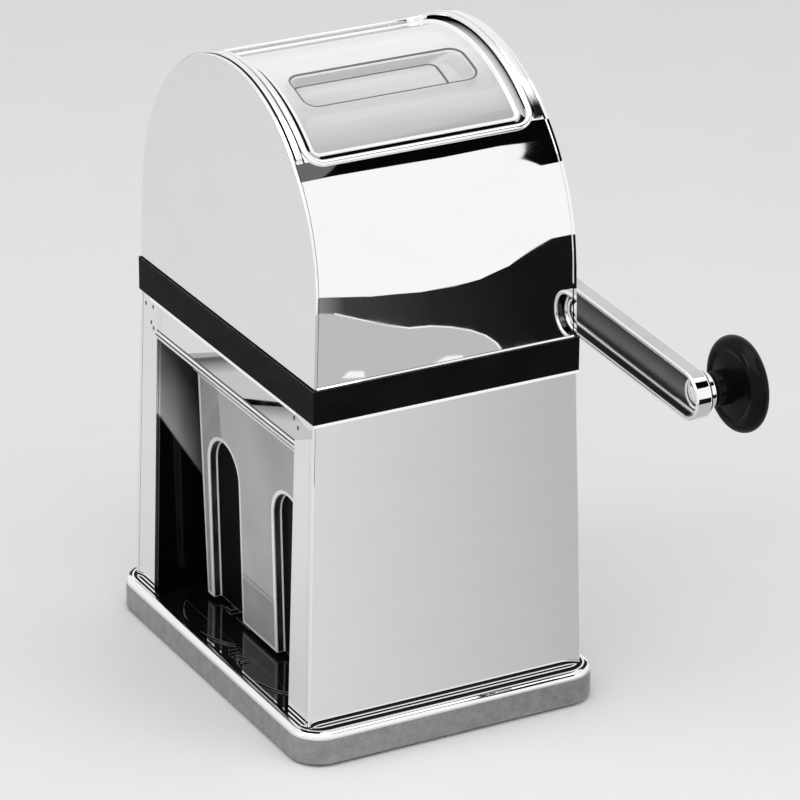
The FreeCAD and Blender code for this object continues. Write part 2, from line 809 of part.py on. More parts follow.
def chute_outline(wall, top, bottom):
    """Outline of the chute at a wall thickness, from its bottom up."""
    mouth = mouth_half_y + 0.5 + wall
    return mirrored_points([
        (S.chute_mouth + wall, bottom),
        (mouth, axis_z - S.chute_neck),
        (mouth, top),
    ])


def make_chute():
    """Funnel under the rotor that leads the shaved ice into the container."""
    top = deck_top - S.deck_thickness
    bottom = axis_z - S.chute_drop
    outer = outline_prism("chute_outer", chute_outline(S.chute_wall, top, bottom),
                          (mouth_half_x + S.chute_wall - S.close_gap) * 2)
    inner = outline_prism("chute_inner", chute_outline(0, top + 1, bottom - 1), mouth_half_x * 2)
    shaft_way = box("chute_shaft_way", both(bearing_end), both(S.shaft_side * 0.8),
                    (axis_z - S.shaft_side * 0.8, top + 1))
    return keep("discharge_chute", cut("discharge_chute", outer, inner, shaft_way))


# ---------------------------------------------------------------- arched housing


def end_taper(name, inset):
    """Block bounded by the leaning ends alone, over the whole housing."""
    return taper_block(name, (band_top, arch_z + arch_radius + 5), lambda z: both(end_x(z, inset)),
                       lambda z: both(arch_radius + 5))


def opening_prism(name, growth):
    """Upright-sided cutter for the loading opening, grown on all sides."""
    block = rounded_block(name, both(opening_half + growth), both(opening_chord + growth),
                          arch_radius + 10, S.opening_corner + growth)
    return place(block, 0, 0, arch_z, turn=90 - opening_middle)


def make_dome():
    """Polished sheet over the top with the loading opening."""
    outer = arch_block("dome_outer", arch_radius, both(S.cabinet_length / 2), band_top)
    inner = arch_block("dome_inner", shell_inner, both(S.cabinet_length), band_top - 1)
    sheet = common("dome_sheet", cut("dome_skin", outer, inner), end_taper("dome_ends", S.plate_wall))
    return keep("dome_shell", cut("dome_shell", sheet, opening_prism("dome_opening", 0)))


def make_end_plates():
    """Arch-shaped ends, a little proud of the dome so that they show a bright edge."""
    far = S.cabinet_length / 2
    for name, x_span in (("left_end_plate", (-far, 0)), ("right_end_plate", (0, far))):
        block = arch_block(name + "_block", arch_radius + S.plate_proud, x_span, band_top)
        trimmed = common(name + "_trimmed", block, end_taper(name + "_outside", 0))
        keep(name, cut(name, trimmed, end_taper(name + "_inside", S.plate_wall)))


def make_opening_rim():
    """Bright raised frame around the loading opening."""
    bar = swept_bar("rim_bar", both(opening_half + S.rim_width), (arch_radius, arch_radius + S.rim_rise),
                    S.opening_front_angle - 6, S.opening_rear_angle + 6)
    frame = cut("rim_frame", opening_prism("rim_outside", S.rim_width), opening_prism("rim_inside", 0))
    return keep("opening_rim", common("opening_rim", bar, frame))


def make_side_bands():
    """Raised strips between the opening's rim and the end plates."""
    start = opening_half + S.rim_width + S.opening_side_gap
    radii = (arch_radius, arch_radius + S.side_band_rise)
    for name, x_span in (("left_side_band", (-S.cabinet_length / 2, -start)),
                         ("right_side_band", (start, S.cabinet_length / 2))):
        bar = swept_bar(name + "_bar", x_span, radii, S.side_band_front_angle, S.side_band_rear_angle)
        keep(name, common(name, bar, end_taper(name + "_ends", S.plate_wall)))


def make_tracks():
    """Inner guides that hold the lid's side edges under the dome."""
    flange_radii = (lid_inner - S.slide_gap - S.track_wall, lid_inner - S.slide_gap)
    rear_angle = S.opening_rear_angle + S.lid_end_overlap + S.lid_travel + 2
    near = opening_half - S.track_lip
    far = near + S.track_depth
    for name, side in (("left_lid_track", -1), ("right_lid_track", 1)):
        flange_x = sorted((near * side, far * side), key=value_of)
        web_x = sorted(((lid_half + S.slide_gap) * side, far * side), key=value_of)
        flange = swept_bar(name + "_flange", flange_x, flange_radii, S.track_front_angle, rear_angle)
        web = swept_bar(name + "_web", web_x, (flange_radii[0], shell_inner), S.track_front_angle, rear_angle)
        keep(name, fuse(name, flange, web))


def make_lid():
    """Clear sliding lid: a bent panel with a bead round its edge and a finger recess."""
    front = opening_middle - lid_sweep / 2
    rear = opening_middle + lid_sweep / 2
    panel = swept_bar("lid_bar", both(lid_half), (lid_inner, lid_outer), front, rear)
    bead_bar = swept_bar("lid_bead_bar", both(lid_half), (lid_inner + 0.5, lid_outer + S.lid_bead_rise),
                         front, rear)
    edge = -S.lid_bead_inset
    bead_frame = cut("lid_bead_frame", opening_prism("lid_bead_outside", edge),
                     opening_prism("lid_bead_inside", edge - S.lid_bead_width))
    bead = common("lid_bead", bead_bar, bead_frame)
    wall = S.lid_thickness * 0.75
    turn = 90 - S.recess_angle
    half_x, half_y = S.recess_length / 2, S.recess_width / 2
    cup = rounded_block("lid_cup", both(half_x + wall), both(half_y + wall), lid_inner - recess_floor + wall + 0.5,
                        S.recess_corner + wall)
    offset = recess_floor - wall
    place(cup, 0, -offset * cosine(S.recess_angle), arch_z + offset * sine(S.recess_angle), turn=turn)
    scoop = rounded_block("lid_scoop", both(half_x), both(half_y), arch_radius, S.recess_corner)
    place(scoop, 0, -recess_floor * cosine(S.recess_angle), arch_z + recess_floor * sine(S.recess_angle),
          turn=turn)
    return keep("lid_panel", cut("lid_panel", fuse("lid_solid", panel, bead, cup), scoop))


# ---------------------------------------------------------------- hopper and combs


def hopper_outline(wall, bottom, top):
    """Outline of the hopper at a wall thickness, from its mouth up."""
    return mirrored_points([
        (mouth_half_y + wall, bottom),
        (mouth_half_y + wall, comb_top + S.hopper_neck),
        (S.hopper_half_width + wall, arch_z + S.hopper_shoulder),
        (S.hopper_half_width + wall, top),
    ])


def make_hopper():
    """Stainless funnel from under the lid down to the cutters, its top edge arched below the lid."""
    outer = outline_prism("hopper_outer", hopper_outline(S.sheet_wall, comb_top, arch_z + arch_radius),
                          (mouth_half_x + S.sheet_wall) * 2)
    inner = outline_prism("hopper_inner", hopper_outline(0, comb_top - 1, arch_z + arch_radius + 1),
                          mouth_half_x * 2)
    arch = arch_block("hopper_arch", hopper_arch, both(S.cabinet_length / 2), comb_top - 2)
    return keep("hopper", cut("hopper", common("hopper_block", outer, arch), inner))


def comb_screw_places():
    """Places of the four comb screws on the deck."""
    y = mouth_half_y + S.chute_wall + 1 + S.comb_depth / 2 - 1
    x = S.cutter_pitch * 2
    return [(-x, -y), (x, -y), (-x, y), (x, y)]


def make_combs():
    """Fixed blades whose fingers stand between the turning discs."""
    near = mouth_half_y + 0.5
    far = near + S.comb_depth
    tip = S.spacer_radius + 1.5
    for name, side in (("front_comb", -1), ("rear_comb", 1)):
        body = new_body(name)
        plan = new_sketch(body, "XY_Plane", name + "_plan")
        draw_outline(plan, rectangle(both(mouth_half_x - 1.5), sorted((near * side, far * side), key=value_of)))
        pad(body, plan, S.comb_thickness)
        for gap in range(DISC_COUNT - 1):
            middle = S.cutter_pitch * (gap - (DISC_COUNT - 2) / 2)
            finger = new_sketch(body, "XY_Plane", f"{name}_finger_{gap}")
            draw_outline(finger, [
                (middle - S.finger_base / 2, (near + 1) * side),
                (middle - S.finger_tip / 2, tip * side),
                (middle + S.finger_tip / 2, tip * side),
                (middle + S.finger_base / 2, (near + 1) * side),
            ])
            pad(body, finger, S.comb_thickness)
        place(body, 0, 0, deck_top)
        holes = [rod_z(f"{name}_hole_{number}", S.comb_screw_radius + S.close_gap, (deck_top - 1, comb_top + 1), x, y)
                 for number, (x, y) in enumerate(comb_screw_places()) if y.value * side > 0]
        keep(name, cut(name + "_drilled", body, *holes))


def make_comb_screws():
    """Round-headed screws that hold the combs to the deck."""
    screws = []
    for number, (x, y) in enumerate(comb_screw_places()):
        head = rod_z(f"comb_screw_head_{number}", S.comb_screw_radius * 1.8, (comb_top, comb_top + 2), x, y)
        shank = rod_z(f"comb_screw_shank_{number}", S.comb_screw_radius,
                      (deck_top - S.deck_thickness, comb_top + 1), x, y)
        screws.append(fuse(f"comb_screw_{number}", head, shank))
    keep("comb_screws", group("comb_screws", *screws))


# ---------------------------------------------------------------- rotor


def seat_on_axle(thing, quarter_turns=0):
    """Place a piece made about the origin on the rotor axis, turned with the crank."""
    return place(thing, 0, 0, axis_z, turn=S.crank_droop + 90 * quarter_turns)


def square_rod(name, side, x_span):
    """Square bar along X about the origin."""
    return box(name, x_span, both(side / 2), both(side / 2))


def make_shaft():
    """Rotor shaft: square under the discs, round in the bushes, with a small square for the crank."""
    core_half = stack_half + S.end_spacer + S.close_gap
    core = square_rod("shaft_core", S.shaft_side, both(core_half))
    journal = rod_x("shaft_journal", S.shaft_radius, (-shaft_tip, S.crank_offset))
    drive = square_rod("shaft_drive", S.drive_side, (S.crank_offset - 1, arm_face - S.close_gap))
    thread = rod_x("shaft_thread", 2.1, (arm_web - S.arm_thickness, arm_face + 1))
    shaft = cut("rotor_shaft", fuse("shaft_solid", core, journal, drive), thread)
    keep("rotor_shaft", seat_on_axle(shaft))


def make_disc(number):
    """One cutter disc with hooked teeth and a square bore."""
    name = f"cutter_disc_{number}"
    body = new_body(name)
    middle = S.cutter_pitch * (number - (DISC_COUNT + 1) / 2)
    plate = new_sketch(body, "YZ_Plane", name + "_plate")
    draw_circle(plate, S.cutter_root)
    pad(body, plate, S.cutter_thickness, symmetric=True)
    hook = new_sketch(body, "YZ_Plane", name + "_hook")
    tooth_points = ((S.cutter_root - 1, -16), (S.cutter_radius, 6), (S.cutter_radius - 1.5, 12),
                    (S.cutter_root + 2.5, 9), (S.cutter_root - 1, 20))
    draw_outline(hook, [(radius * cosine(angle), radius * sine(angle)) for radius, angle in tooth_points])
    tooth = pad(body, hook, S.cutter_thickness, symmetric=True)
    ring = body.newObject("PartDesign::PolarPattern", name + "_ring")
    ring.Originals = [tooth]
    ring.Axis = (hook, ["N_Axis"])
    ring.Angle = 360
    ring.Occurrences = TOOTH_COUNT
    body.Tip = ring
    bore = new_sketch(body, "YZ_Plane", name + "_square")
    half = S.shaft_side / 2 + S.close_gap / 2
    draw_outline(bore, rectangle(both(half), both(half)))
    pocket(body, bore, S.cutter_thickness * 2, symmetric=True)
    seat_on_axle(body, number % 4)
    bind(body, Placement__Base__x=middle)
    keep(name, body)


def make_spacer(name, x_span):
    """Tube with a square bore between two discs or outside the last."""
    tube = rod_x(name + "_tube", S.spacer_radius, x_span)
    hole = square_rod(name + "_hole", S.shaft_side + S.close_gap, (x_span[0] - 1, x_span[1] + 1))
    keep(name, seat_on_axle(cut(name, tube, hole)))


def make_rotor():
    """Shaft, discs and spacers."""
    make_shaft()
    for number in range(1, DISC_COUNT + 1):
        make_disc(number)
    for number in range(1, DISC_COUNT):
        middle = S.cutter_pitch * (number - DISC_COUNT / 2)
        half = (S.cutter_pitch - S.cutter_thickness) / 2
        make_spacer(f"rotor_spacer_{number}", (middle - half, middle + half))
    make_spacer("left_end_spacer", (-stack_half - S.end_spacer, -stack_half))
    make_spacer("right_end_spacer", (stack_half, stack_half + S.end_spacer))


# ---------------------------------------------------------------- crank and knob


def make_axle_collar():
    """Bright collar on the band where the axle comes out."""
    ring = rod_x("collar_ring", S.collar_radius, (band_half_x, collar_end), 0, axis_z)
    bore = rod_x("collar_bore", S.shaft_radius + 0.5, (band_half_x - 1, collar_end + 1), 0, axis_z)
    keep("axle_collar", cut("axle_collar", ring, bore))


def make_crank_hub():
    """Sleeve between the collar and the web of the crank arm."""
    span = (collar_end + S.slide_gap, arm_web)
    sleeve = rod_x("hub_sleeve", S.hub_radius, span)
    bore = rod_x("hub_bore", S.shaft_radius + S.close_gap / 2, (span[0] - 1, S.crank_offset + 0.1))
    drive = square_rod("hub_drive", S.drive_side + S.close_gap, (S.crank_offset, arm_web + 1))
    keep("crank_hub", seat_on_axle(cut("crank_hub", sleeve, bore, drive)))


def slot_outline(radius):
    """Outline and arcs of the arm: a slot from the axle to the knob, reaching towards -Y."""
    points = [(0, radius), (-S.crank_reach, radius), (-S.crank_reach, -radius), (0, -radius)]
    curves = {
        1: Curve((-S.crank_reach, 0), clockwise=False, held="u"),
        3: Curve((0, 0), clockwise=False, held="u"),
    }
    return points, curves


def make_crank_arm():
    """Crank arm: a round-ended bar, channelled on its inner face, with eased outer edges."""
    body = new_body("crank_arm_body")
    outer = new_sketch(body, "YZ_Plane", "arm_outer")
    draw_outline(outer, *slot_outline(S.arm_width / 2))
    block = pad(body, outer, S.arm_thickness)
    face = S.arm_thickness.value
    eased = round_edges(body, block, S.arm_wall,
                        lambda edge: edge.BoundBox.XLength < 1e-6 and abs(edge.BoundBox.XMax - face) < 1e-6)
    channel = new_sketch(body, "YZ_Plane", "arm_channel_outline")
    draw_outline(channel, *slot_outline(S.arm_width / 2 - S.arm_wall))
    body.Tip = eased
    pocket(body, channel, S.arm_channel, along_normal=True)
    seat_on_axle(body)
    bind(body, Placement__Base__x=S.crank_offset)
    beyond = (S.crank_offset - 1, arm_face + 1)
    drive = seat_on_axle(square_rod_tool("arm_drive_hole", S.drive_side + S.close_gap, beyond))
    pin_hole = rod_x("arm_pin_hole", S.pin_radius + S.bush_clearance, beyond, knob_y, knob_z)
    keep("crank_arm", cut("crank_arm", body, drive, pin_hole))


def square_rod_tool(name, side, x_span):
    """Square cutter along X that can be seated on the axle after it is made."""
    return group(name, square_rod(name + "_bar", side, x_span))


def turned_piece(name, points, x, y, z, curves=None):
    """Body turned about its own X axis from an outline of x and radius."""
    body = new_body(name)
    profile = new_sketch(body, "XZ_Plane", name + "_profile")
    draw_outline(profile, points, curves)
    revolve(body, profile)
    return place(body, x, y, z)


def make_crank_screw():
    """Domed cap screw that holds the arm on the shaft."""
    grip = S.arm_thickness
    points = [(-grip, 0), (-grip, 2), (0, 2), (0, S.cap_radius), (1.4, S.cap_radius), (3, S.cap_radius * 0.72),
              (3.6, S.cap_radius * 0.3), (3.7, 0)]
    keep("crank_screw", turned_piece("crank_screw", points, arm_face, 0, axis_z))


def make_knob_pin():
    """Pin through the arm that the knob turns on, with a domed head in the channel."""
    length = knob_start - arm_web + S.knob_stem_length + S.knob_head * 0.55
    head = S.pin_radius + 2.5
    points = [(-1.8, 0), (-1.7, head * 0.5), (-1.0, head), (0, head), (0, S.pin_radius), (length, S.pin_radius),
              (length, 0)]
    keep("knob_pin", turned_piece("knob_pin", points, arm_web, knob_y, knob_z))


def make_ferrule():
    """Bright ring between the arm and the knob."""
    bore = S.pin_radius + S.bush_clearance
    length = S.ferrule_length
    points = [(0, bore), (0, S.ferrule_radius), (length * 0.6, S.ferrule_radius),
              (length, S.ferrule_radius - 1), (length, bore)]
    keep("knob_ferrule", turned_piece("knob_ferrule", points, arm_face, knob_y, knob_z))


def arc_points(centre, radius, first, last, steps):
    """Points along an arc about a centre, from one angle to another."""
    angles = [first + (last - first) * (step / steps) for step in range(steps + 1)]
    return [(centre[0] + radius * cosine(angle), centre[1] + radius * sine(angle)) for angle in angles]


def make_knob():
    """Mushroom knob: slim stem, dished back, rounded rim and a low dome."""
    bore = S.pin_radius + S.bush_clearance
    stem = S.knob_stem_length
    depth = stem + S.knob_head * 0.55 + 0.6
    rim_x = stem + S.knob_rim * 1.15
    rim_r = S.knob_radius - S.knob_rim
    rim = arc_points((rim_x, rim_r), S.knob_rim, 210, 50, 4)
    front_x, front_r = rim[-1]
    crown = stem + S.knob_head
    rise = crown - front_x
    crown_points = [(front_x + rise * 0.52, front_r * 0.7), (front_x + rise * 0.87, front_r * 0.37), (crown, 0)]
    stem_points = [(0, bore), (0, S.knob_stem_radius - 0.8), (0.8, S.knob_stem_radius), (stem, S.knob_stem_radius)]
    points = stem_points + rim + crown_points + [(depth, 0), (depth, bore)]
    keep("knob", turned_piece("knob", points, knob_start, knob_y, knob_z))


# ---------------------------------------------------------------- container


def container_block(name, z_span, inset, side_inset=None):
    """Drafted block of the container, inset at its ends and as much or otherwise at its sides."""
    side_inset = inset if side_inset is None else side_inset

    def x_span(height):
        spread = container_lean * (height - container_floor)
        return (container_face + inset - spread, container_back - inset + spread)

    def y_span(height):
        return both(S.container_width / 2 - side_inset + container_lean * (height - container_floor))

    return taper_block(name, z_span, x_span, y_span)


def flute_block(name, side, growth):
    """Arch-topped block through the container's end wall where a finger flute is."""
    middle = S.flute_spacing / 2 * side
    half = S.flute_width / 2 + growth
    low = container_floor + S.flute_foot - growth
    spring = container_floor + S.flute_foot + S.flute_height - S.flute_width / 2
    x_span = (container_face - 12, container_face + 12)
    straight = box(name + "_straight", x_span, (middle - half, middle + half), (low, spring))
    arch = rod_x(name + "_arch", half, x_span, middle, spring)
    return fuse(name, straight, arch)


def make_container():
    """Smoky drawer: drafted walls, a turned-out rim and two arched finger flutes in its end wall."""
    height = (container_floor, container_top)
    outer = container_block("container_outer", height, 0)
    rim = container_block("container_rim_block", (container_top - 3, container_top), -S.container_rim)
    inner = container_block("container_inner", (container_floor + S.container_wall + 0.5, container_top + 1),
                            S.container_wall)
    tall = (container_floor - 1, container_top + 1)
    flutes, pockets = [], []
    for number, side in enumerate((-1, 1)):
        wide = flute_block(f"flute_wall_{number}", side, S.container_wall)
        behind = container_block(f"flute_behind_{number}", tall, S.flute_depth + S.container_wall, 0)
        flutes.append(cut(f"flute_boss_{number}", wide, behind))
        narrow = flute_block(f"flute_hollow_{number}", side, 0)
        beyond = container_block(f"flute_beyond_{number}", tall, S.flute_depth, 0)
        pockets.append(cut(f"flute_pocket_{number}", narrow, beyond))
    cavity = cut("container_cavity", inner, *flutes)
    solid = fuse("container_solid", outer, rim)
    keep("container", cut("container", solid, cavity, *pockets))


# ---------------------------------------------------------------- build, check and write


def build():
    """Make every sub-part."""
    make_tray()
    make_floor()
    make_feet()
    make_panels()
    make_bay_frame()
    make_liner()
    make_mid_frame()
    make_bushes()
    make_chute()
    make_dome()
    make_end_plates()
    make_opening_rim()
    make_side_bands()
    make_tracks()
    make_lid()
    make_hopper()
    make_combs()
    make_comb_screws()
    make_rotor()
    make_axle_collar()
    make_crank_hub()
    make_crank_arm()
    make_crank_screw()
    make_knob_pin()
    make_ferrule()
    make_knob()
    make_container()


def check():
    """Stop if any object failed or any sub-part's shape is empty or bad."""
    for thing in DOCUMENT.Objects:
        if "Invalid" in thing.State or "Error" in thing.State:
            raise RuntimeError(f"{thing.Name} failed: {thing.State}")
    for name, thing in PARTS.items():
        if thing.Shape.isNull() or not thing.Shape.Solids or not thing.Shape.isValid():
            raise RuntimeError(f"{name} has no valid shape")


def write():
    """Write each sub-part to its own STEP file."""
    os.makedirs("parts", exist_ok=True)
    for name, thing in PARTS.items():
        thing.Shape.exportStep(os.path.join("parts", name + ".step"))
        print(f"{name}: {len(thing.Shape.Solids)} solid(s), {thing.Shape.Volume / 1000:.2f} cm3")


build()
DOCUMENT.recompute()
check()
write()
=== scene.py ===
"""Looks of a hand cranked ice shaver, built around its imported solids.

Sizes in the classes are millimetres, and a mesh is brought to metres when its piece is finished. The
frame has X along the rotor towards the crank, -Y towards the plain front and Z up from the table.
"""

import json
import logging
import math
from collections.abc import Iterable, Sequence
from dataclasses import dataclass
from enum import Enum

import bmesh
import bpy
from mathutils import Matrix, Vector


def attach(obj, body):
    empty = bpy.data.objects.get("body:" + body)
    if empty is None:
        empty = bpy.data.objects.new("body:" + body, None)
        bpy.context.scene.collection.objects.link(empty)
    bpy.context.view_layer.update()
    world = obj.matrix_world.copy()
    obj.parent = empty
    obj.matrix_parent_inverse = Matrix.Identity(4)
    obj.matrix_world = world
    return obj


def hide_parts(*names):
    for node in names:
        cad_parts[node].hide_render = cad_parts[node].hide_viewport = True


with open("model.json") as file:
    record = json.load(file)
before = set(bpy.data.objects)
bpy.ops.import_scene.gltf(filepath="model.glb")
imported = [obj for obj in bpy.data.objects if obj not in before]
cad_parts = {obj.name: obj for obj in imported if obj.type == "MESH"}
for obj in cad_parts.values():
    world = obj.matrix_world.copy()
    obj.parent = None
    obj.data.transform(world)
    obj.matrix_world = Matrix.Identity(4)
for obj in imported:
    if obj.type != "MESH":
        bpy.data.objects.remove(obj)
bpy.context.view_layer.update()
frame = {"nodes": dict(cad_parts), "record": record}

LOG = logging.getLogger("ice_shaver")
Pair = tuple[float, float]
Colour = tuple[float, float, float]
Points = Sequence[Pair]
Mesh = bmesh.types.BMesh
Edge = bmesh.types.BMEdge
Face = bmesh.types.BMFace
Vert = bmesh.types.BMVert
Material = bpy.types.Material
MM = 0.001
WELD = 2e-6
FLAT = math.radians(0.4)
EVEN = (1.0, 1.0, 1.0)
BLACK = (0.0, 0.0, 0.0, 1.0)


class Body(Enum):
    """Rigid bodies that pieces ride on."""

    CABINET = "cabinet"
    CRANK = "crank"
    KNOB = "crank_knob"
    LID = "lid"
    DRAWER = "drawer"


class Slot(Enum):
    """Material slots of the record."""

    POLISHED = "polished_steel"
    BRUSHED = "brushed_stainless"
    PLAIN = "plain_steel"
    BLACK = "black_plastic"
    KNOB = "knob_plastic"
    CLEAR = "clear_plastic"
    SMOKY = "smoky_plastic"
    RUBBER = "foot_rubber"
    BRONZE = "bearing_bronze"


# ---------------------------------------------------------------- shader maths


class Wire:
    """A shader socket whose operators add the matching Math nodes."""

    def __init__(self, graph: "Graph", socket: bpy.types.NodeSocket) -> None:
        """Keep the graph and the socket."""
        self.graph = graph
        self.socket = socket

    def _math(self, operation: str, other: "Wire | float") -> "Wire":
        """Add a Math node for this wire and another value."""
        return self.graph.node("ShaderNodeMath", {"operation": operation}, {0: self, 1: other})

    def __add__(self, other: "Wire | float") -> "Wire":
        """Sum."""
        return self._math("ADD", other)

    def __radd__(self, other: float) -> "Wire":
        """Sum with a number on the left."""
        return self + other

    def __sub__(self, other: "Wire | float") -> "Wire":
        """Difference."""
        return self._math("SUBTRACT", other)

    def __mul__(self, other: "Wire | float") -> "Wire":
        """Product."""
        return self._math("MULTIPLY", other)


class Graph:
    """Node tree of a material or of the world."""

    def __init__(self, name: str, world: bpy.types.World | None = None) -> None:
        """Start an empty tree.

        Args:
            name: Name of the material.
            world: The world, where the tree is its own.
        """
        self.owner = world or bpy.data.materials.new(name)
        self.owner.use_nodes = True
        self.tree = self.owner.node_tree
        self.tree.nodes.clear()

    def node(self, kind: str, settings: dict | None = None, inputs: dict | None = None, output: int | str = 0) -> Wire:
        """Add a node.

        Args:
            kind: Type of the node.
            settings: Properties to set first.
            inputs: Values or wires by socket name or number.
            output: Name or number of the output to return.

        Returns:
            The chosen output.
        """
        made = self.tree.nodes.new(kind)
        for key, value in (settings or {}).items():
            setattr(made, key, value)
        for key, value in (inputs or {}).items():
            if isinstance(value, Wire):
                self.tree.links.new(value.socket, made.inputs[key])
            else:
                made.inputs[key].default_value = value
        return Wire(self, made.outputs[output])

    def noise(self, scale: float, detail: float = 2.0, stretch: Colour = EVEN) -> Wire:
        """Smooth noise about 0.5, by features per metre, octaves and a stretch of the object's coordinates."""
        place = self.node("ShaderNodeMapping", {}, {0: self.node("ShaderNodeTexCoord", output=3), "Scale": stretch})
        return self.node("ShaderNodeTexNoise", {}, {"Vector": place, "Scale": scale, "Detail": detail})

    def along(self, axis: int) -> Wire:
        """One object coordinate, in metres."""
        return self.node("ShaderNodeSeparateXYZ", {}, {0: self.node("ShaderNodeTexCoord", output=3)}, output=axis)

    def spread(self, value: Wire, low: float, high: float, from_low: float = 0.3, from_high: float = 0.7) -> Wire:
        """Map a value from the range from_low to from_high to the range low to high, clamped."""
        return self.node("ShaderNodeMapRange", {"clamp": True}, {0: value, 1: from_low, 2: from_high, 3: low, 4: high})

    def blend(self, factor: Wire, first: Wire | Colour, second: Colour) -> Wire:
        """Mix two colours by the second one's share."""
        start = first if isinstance(first, Wire) else (*first, 1.0)
        return self.node("ShaderNodeMix", {"data_type": "RGBA"}, {0: factor, 6: start, 7: (*second, 1.0)}, output=2)

    def bump(self, height: Wire, distance: float, strength: float = 1.0) -> Wire:
        """Normal from a height whose unit is a distance in metres."""
        return self.node("ShaderNodeBump", {}, {"Height": height, "Distance": distance, "Strength": strength})

    def close(self, **inputs: "Wire | float | tuple") -> Material:
        """End the graph in a Principled shader.

        Args:
            **inputs: Values or wires by socket name, with _ for a space.

        Returns:
            The finished material.
        """
        named = {key.replace("_", " "): value for key, value in inputs.items()}
        self.end("ShaderNodeOutputMaterial", self.node("ShaderNodeBsdfPrincipled", {}, named))
        return self.owner

    def end(self, kind: str, shader: Wire) -> None:
        """Lead a shader to an output node."""
        self.tree.links.new(shader.socket, self.tree.nodes.new(kind).inputs["Surface"])


# ---------------------------------------------------------------- finishes


@dataclass(frozen=True)
class PolishedSteel:
    """Mirror polished sheet with faint waves and wipe marks, and an optional painted shade that darkens it below a
    height.
    """

    name: str = "polished steel"
    colour: Colour = (0.87, 0.872, 0.875)
    tarnish: Colour = (0.845, 0.85, 0.855)
    roughness: float = 0.012
    smudge: float = 0.022
    wave: float = 0.00003
    wave_scale: float = 16.0
    shade: Pair | None = None
    shade_colour: Colour = (0.01, 0.01, 0.01)

    def dress(self) -> Material:
        """Make the material.

        Returns:
            The finished material.
        """
        graph = Graph(self.name)
        wipe = graph.noise(38.0, 5.0, (1.0, 1.0, 2.6))
        fine = graph.noise(420.0, 3.0, (1.0, 1.0, 0.25))
        rough = graph.spread(wipe, self.roughness, self.roughness + self.smudge, 0.42, 0.8)
        rough = rough + graph.spread(fine, 0.0, 0.008, 0.5, 0.8)
        colour = graph.blend(graph.spread(wipe, 0.0, 1.0, 0.35, 0.8), self.colour, self.tarnish)
        # painted shade: below the given heights the colour turns towards shade_colour, a painted dark reflection
        if self.shade:
            colour = graph.blend(graph.spread(graph.along(2), 1.0, 0.0, *self.shade), colour, self.shade_colour)
        wave = graph.bump(graph.noise(self.wave_scale, 1.0), self.wave)
        return graph.close(Base_Color=colour, Metallic=1.0, Roughness=rough, Normal=wave)


@dataclass(frozen=True)
class ChannelSteel:
    """Polished web of the crank arm's channel, with a painted lit band across it and painted shade towards its walls.
    """

    name: str = "channel steel"
    dark: Colour = (0.004, 0.004, 0.004)
    lit: Colour = (0.19, 0.19, 0.192)
    axis_z: float = 0.149
    droop: float = math.radians(2.5)
    upper: Pair = (-0.003, 0.0055)
    lower: Pair = (-0.0085, -0.004)

    def dress(self) -> Material:
        """Make the material.

        Returns:
            The finished material.
        """
        graph = Graph(self.name)
        across = (graph.along(2) - self.axis_z) * math.cos(self.droop) - graph.along(1) * math.sin(self.droop)
        # painted light and shade: a lit band across the web, dark towards both walls
        lit = graph.spread(across, 1.0, 0.0, *self.upper) * graph.spread(across, 0.3, 1.0, *self.lower)
        lit = lit * graph.spread(graph.noise(220.0, 3.0, (1.0, 0.1, 1.0)), 0.94, 1.0)
        rough = graph.spread(graph.noise(90.0, 4.0), 0.26, 0.34)
        return graph.close(Base_Color=graph.blend(lit, self.dark, self.lit), Metallic=1.0, Roughness=rough)


@dataclass(frozen=True)
class BrushedSteel:
    """Satin sheet brushed along one axis."""

    name: str = "brushed steel"
    colour: Colour = (0.60, 0.61, 0.62)
    dark: Colour = (0.44, 0.45, 0.46)
    roughness: float = 0.26
    grain: Colour = (0.04, 1.0, 1.0)
    grain_scale: float = 1500.0
    mottle: float = 60.0

    def dress(self) -> Material:
        """Make the material.

        Returns:
            The finished material.
        """
        graph = Graph(self.name)
        lines = graph.noise(self.grain_scale, 3.0, self.grain)
        cloud = graph.noise(self.mottle, 4.0)
        colour = graph.blend(graph.spread(cloud * 0.6 + lines * 0.4, 0.0, 1.0, 0.35, 0.7), self.dark, self.colour)
        rough = self.roughness + graph.spread(lines, -0.06, 0.10)
        return graph.close(Base_Color=colour, Metallic=1.0, Roughness=rough, Normal=graph.bump(lines, 0.00002, 0.6))


@dataclass(frozen=True)
class MouldedPlastic:
    """Opaque moulded plastic with a faint orange peel."""

    name: str
    colour: Colour = (0.003, 0.003, 0.0035)
    worn: Colour = (0.006, 0.006, 0.0065)
    roughness: float = 0.35
    peel: float = 0.00001
    coat: Pair = (0.01, 0.06)
    sheen_level: float = 0.02

    def dress(self) -> Material:
        """Make the material.

        Returns:
            The finished material.
        """
        graph = Graph(self.name)
        handling = graph.noise(45.0, 5.0)
        colour = graph.blend(graph.spread(handling, 0.0, 1.0, 0.45, 0.8), self.colour, self.worn)
        rough = graph.spread(handling, self.roughness, self.roughness + 0.15, 0.4, 0.8)
        coat = graph.spread(graph.noise(70.0, 4.0), *self.coat)
        peel = graph.bump(graph.noise(900.0, 2.0), self.peel)
        return graph.close(Base_Color=colour, Roughness=rough, Normal=peel, Coat_Weight=coat, Coat_Roughness=0.03,
                           Specular_IOR_Level=self.sheen_level)


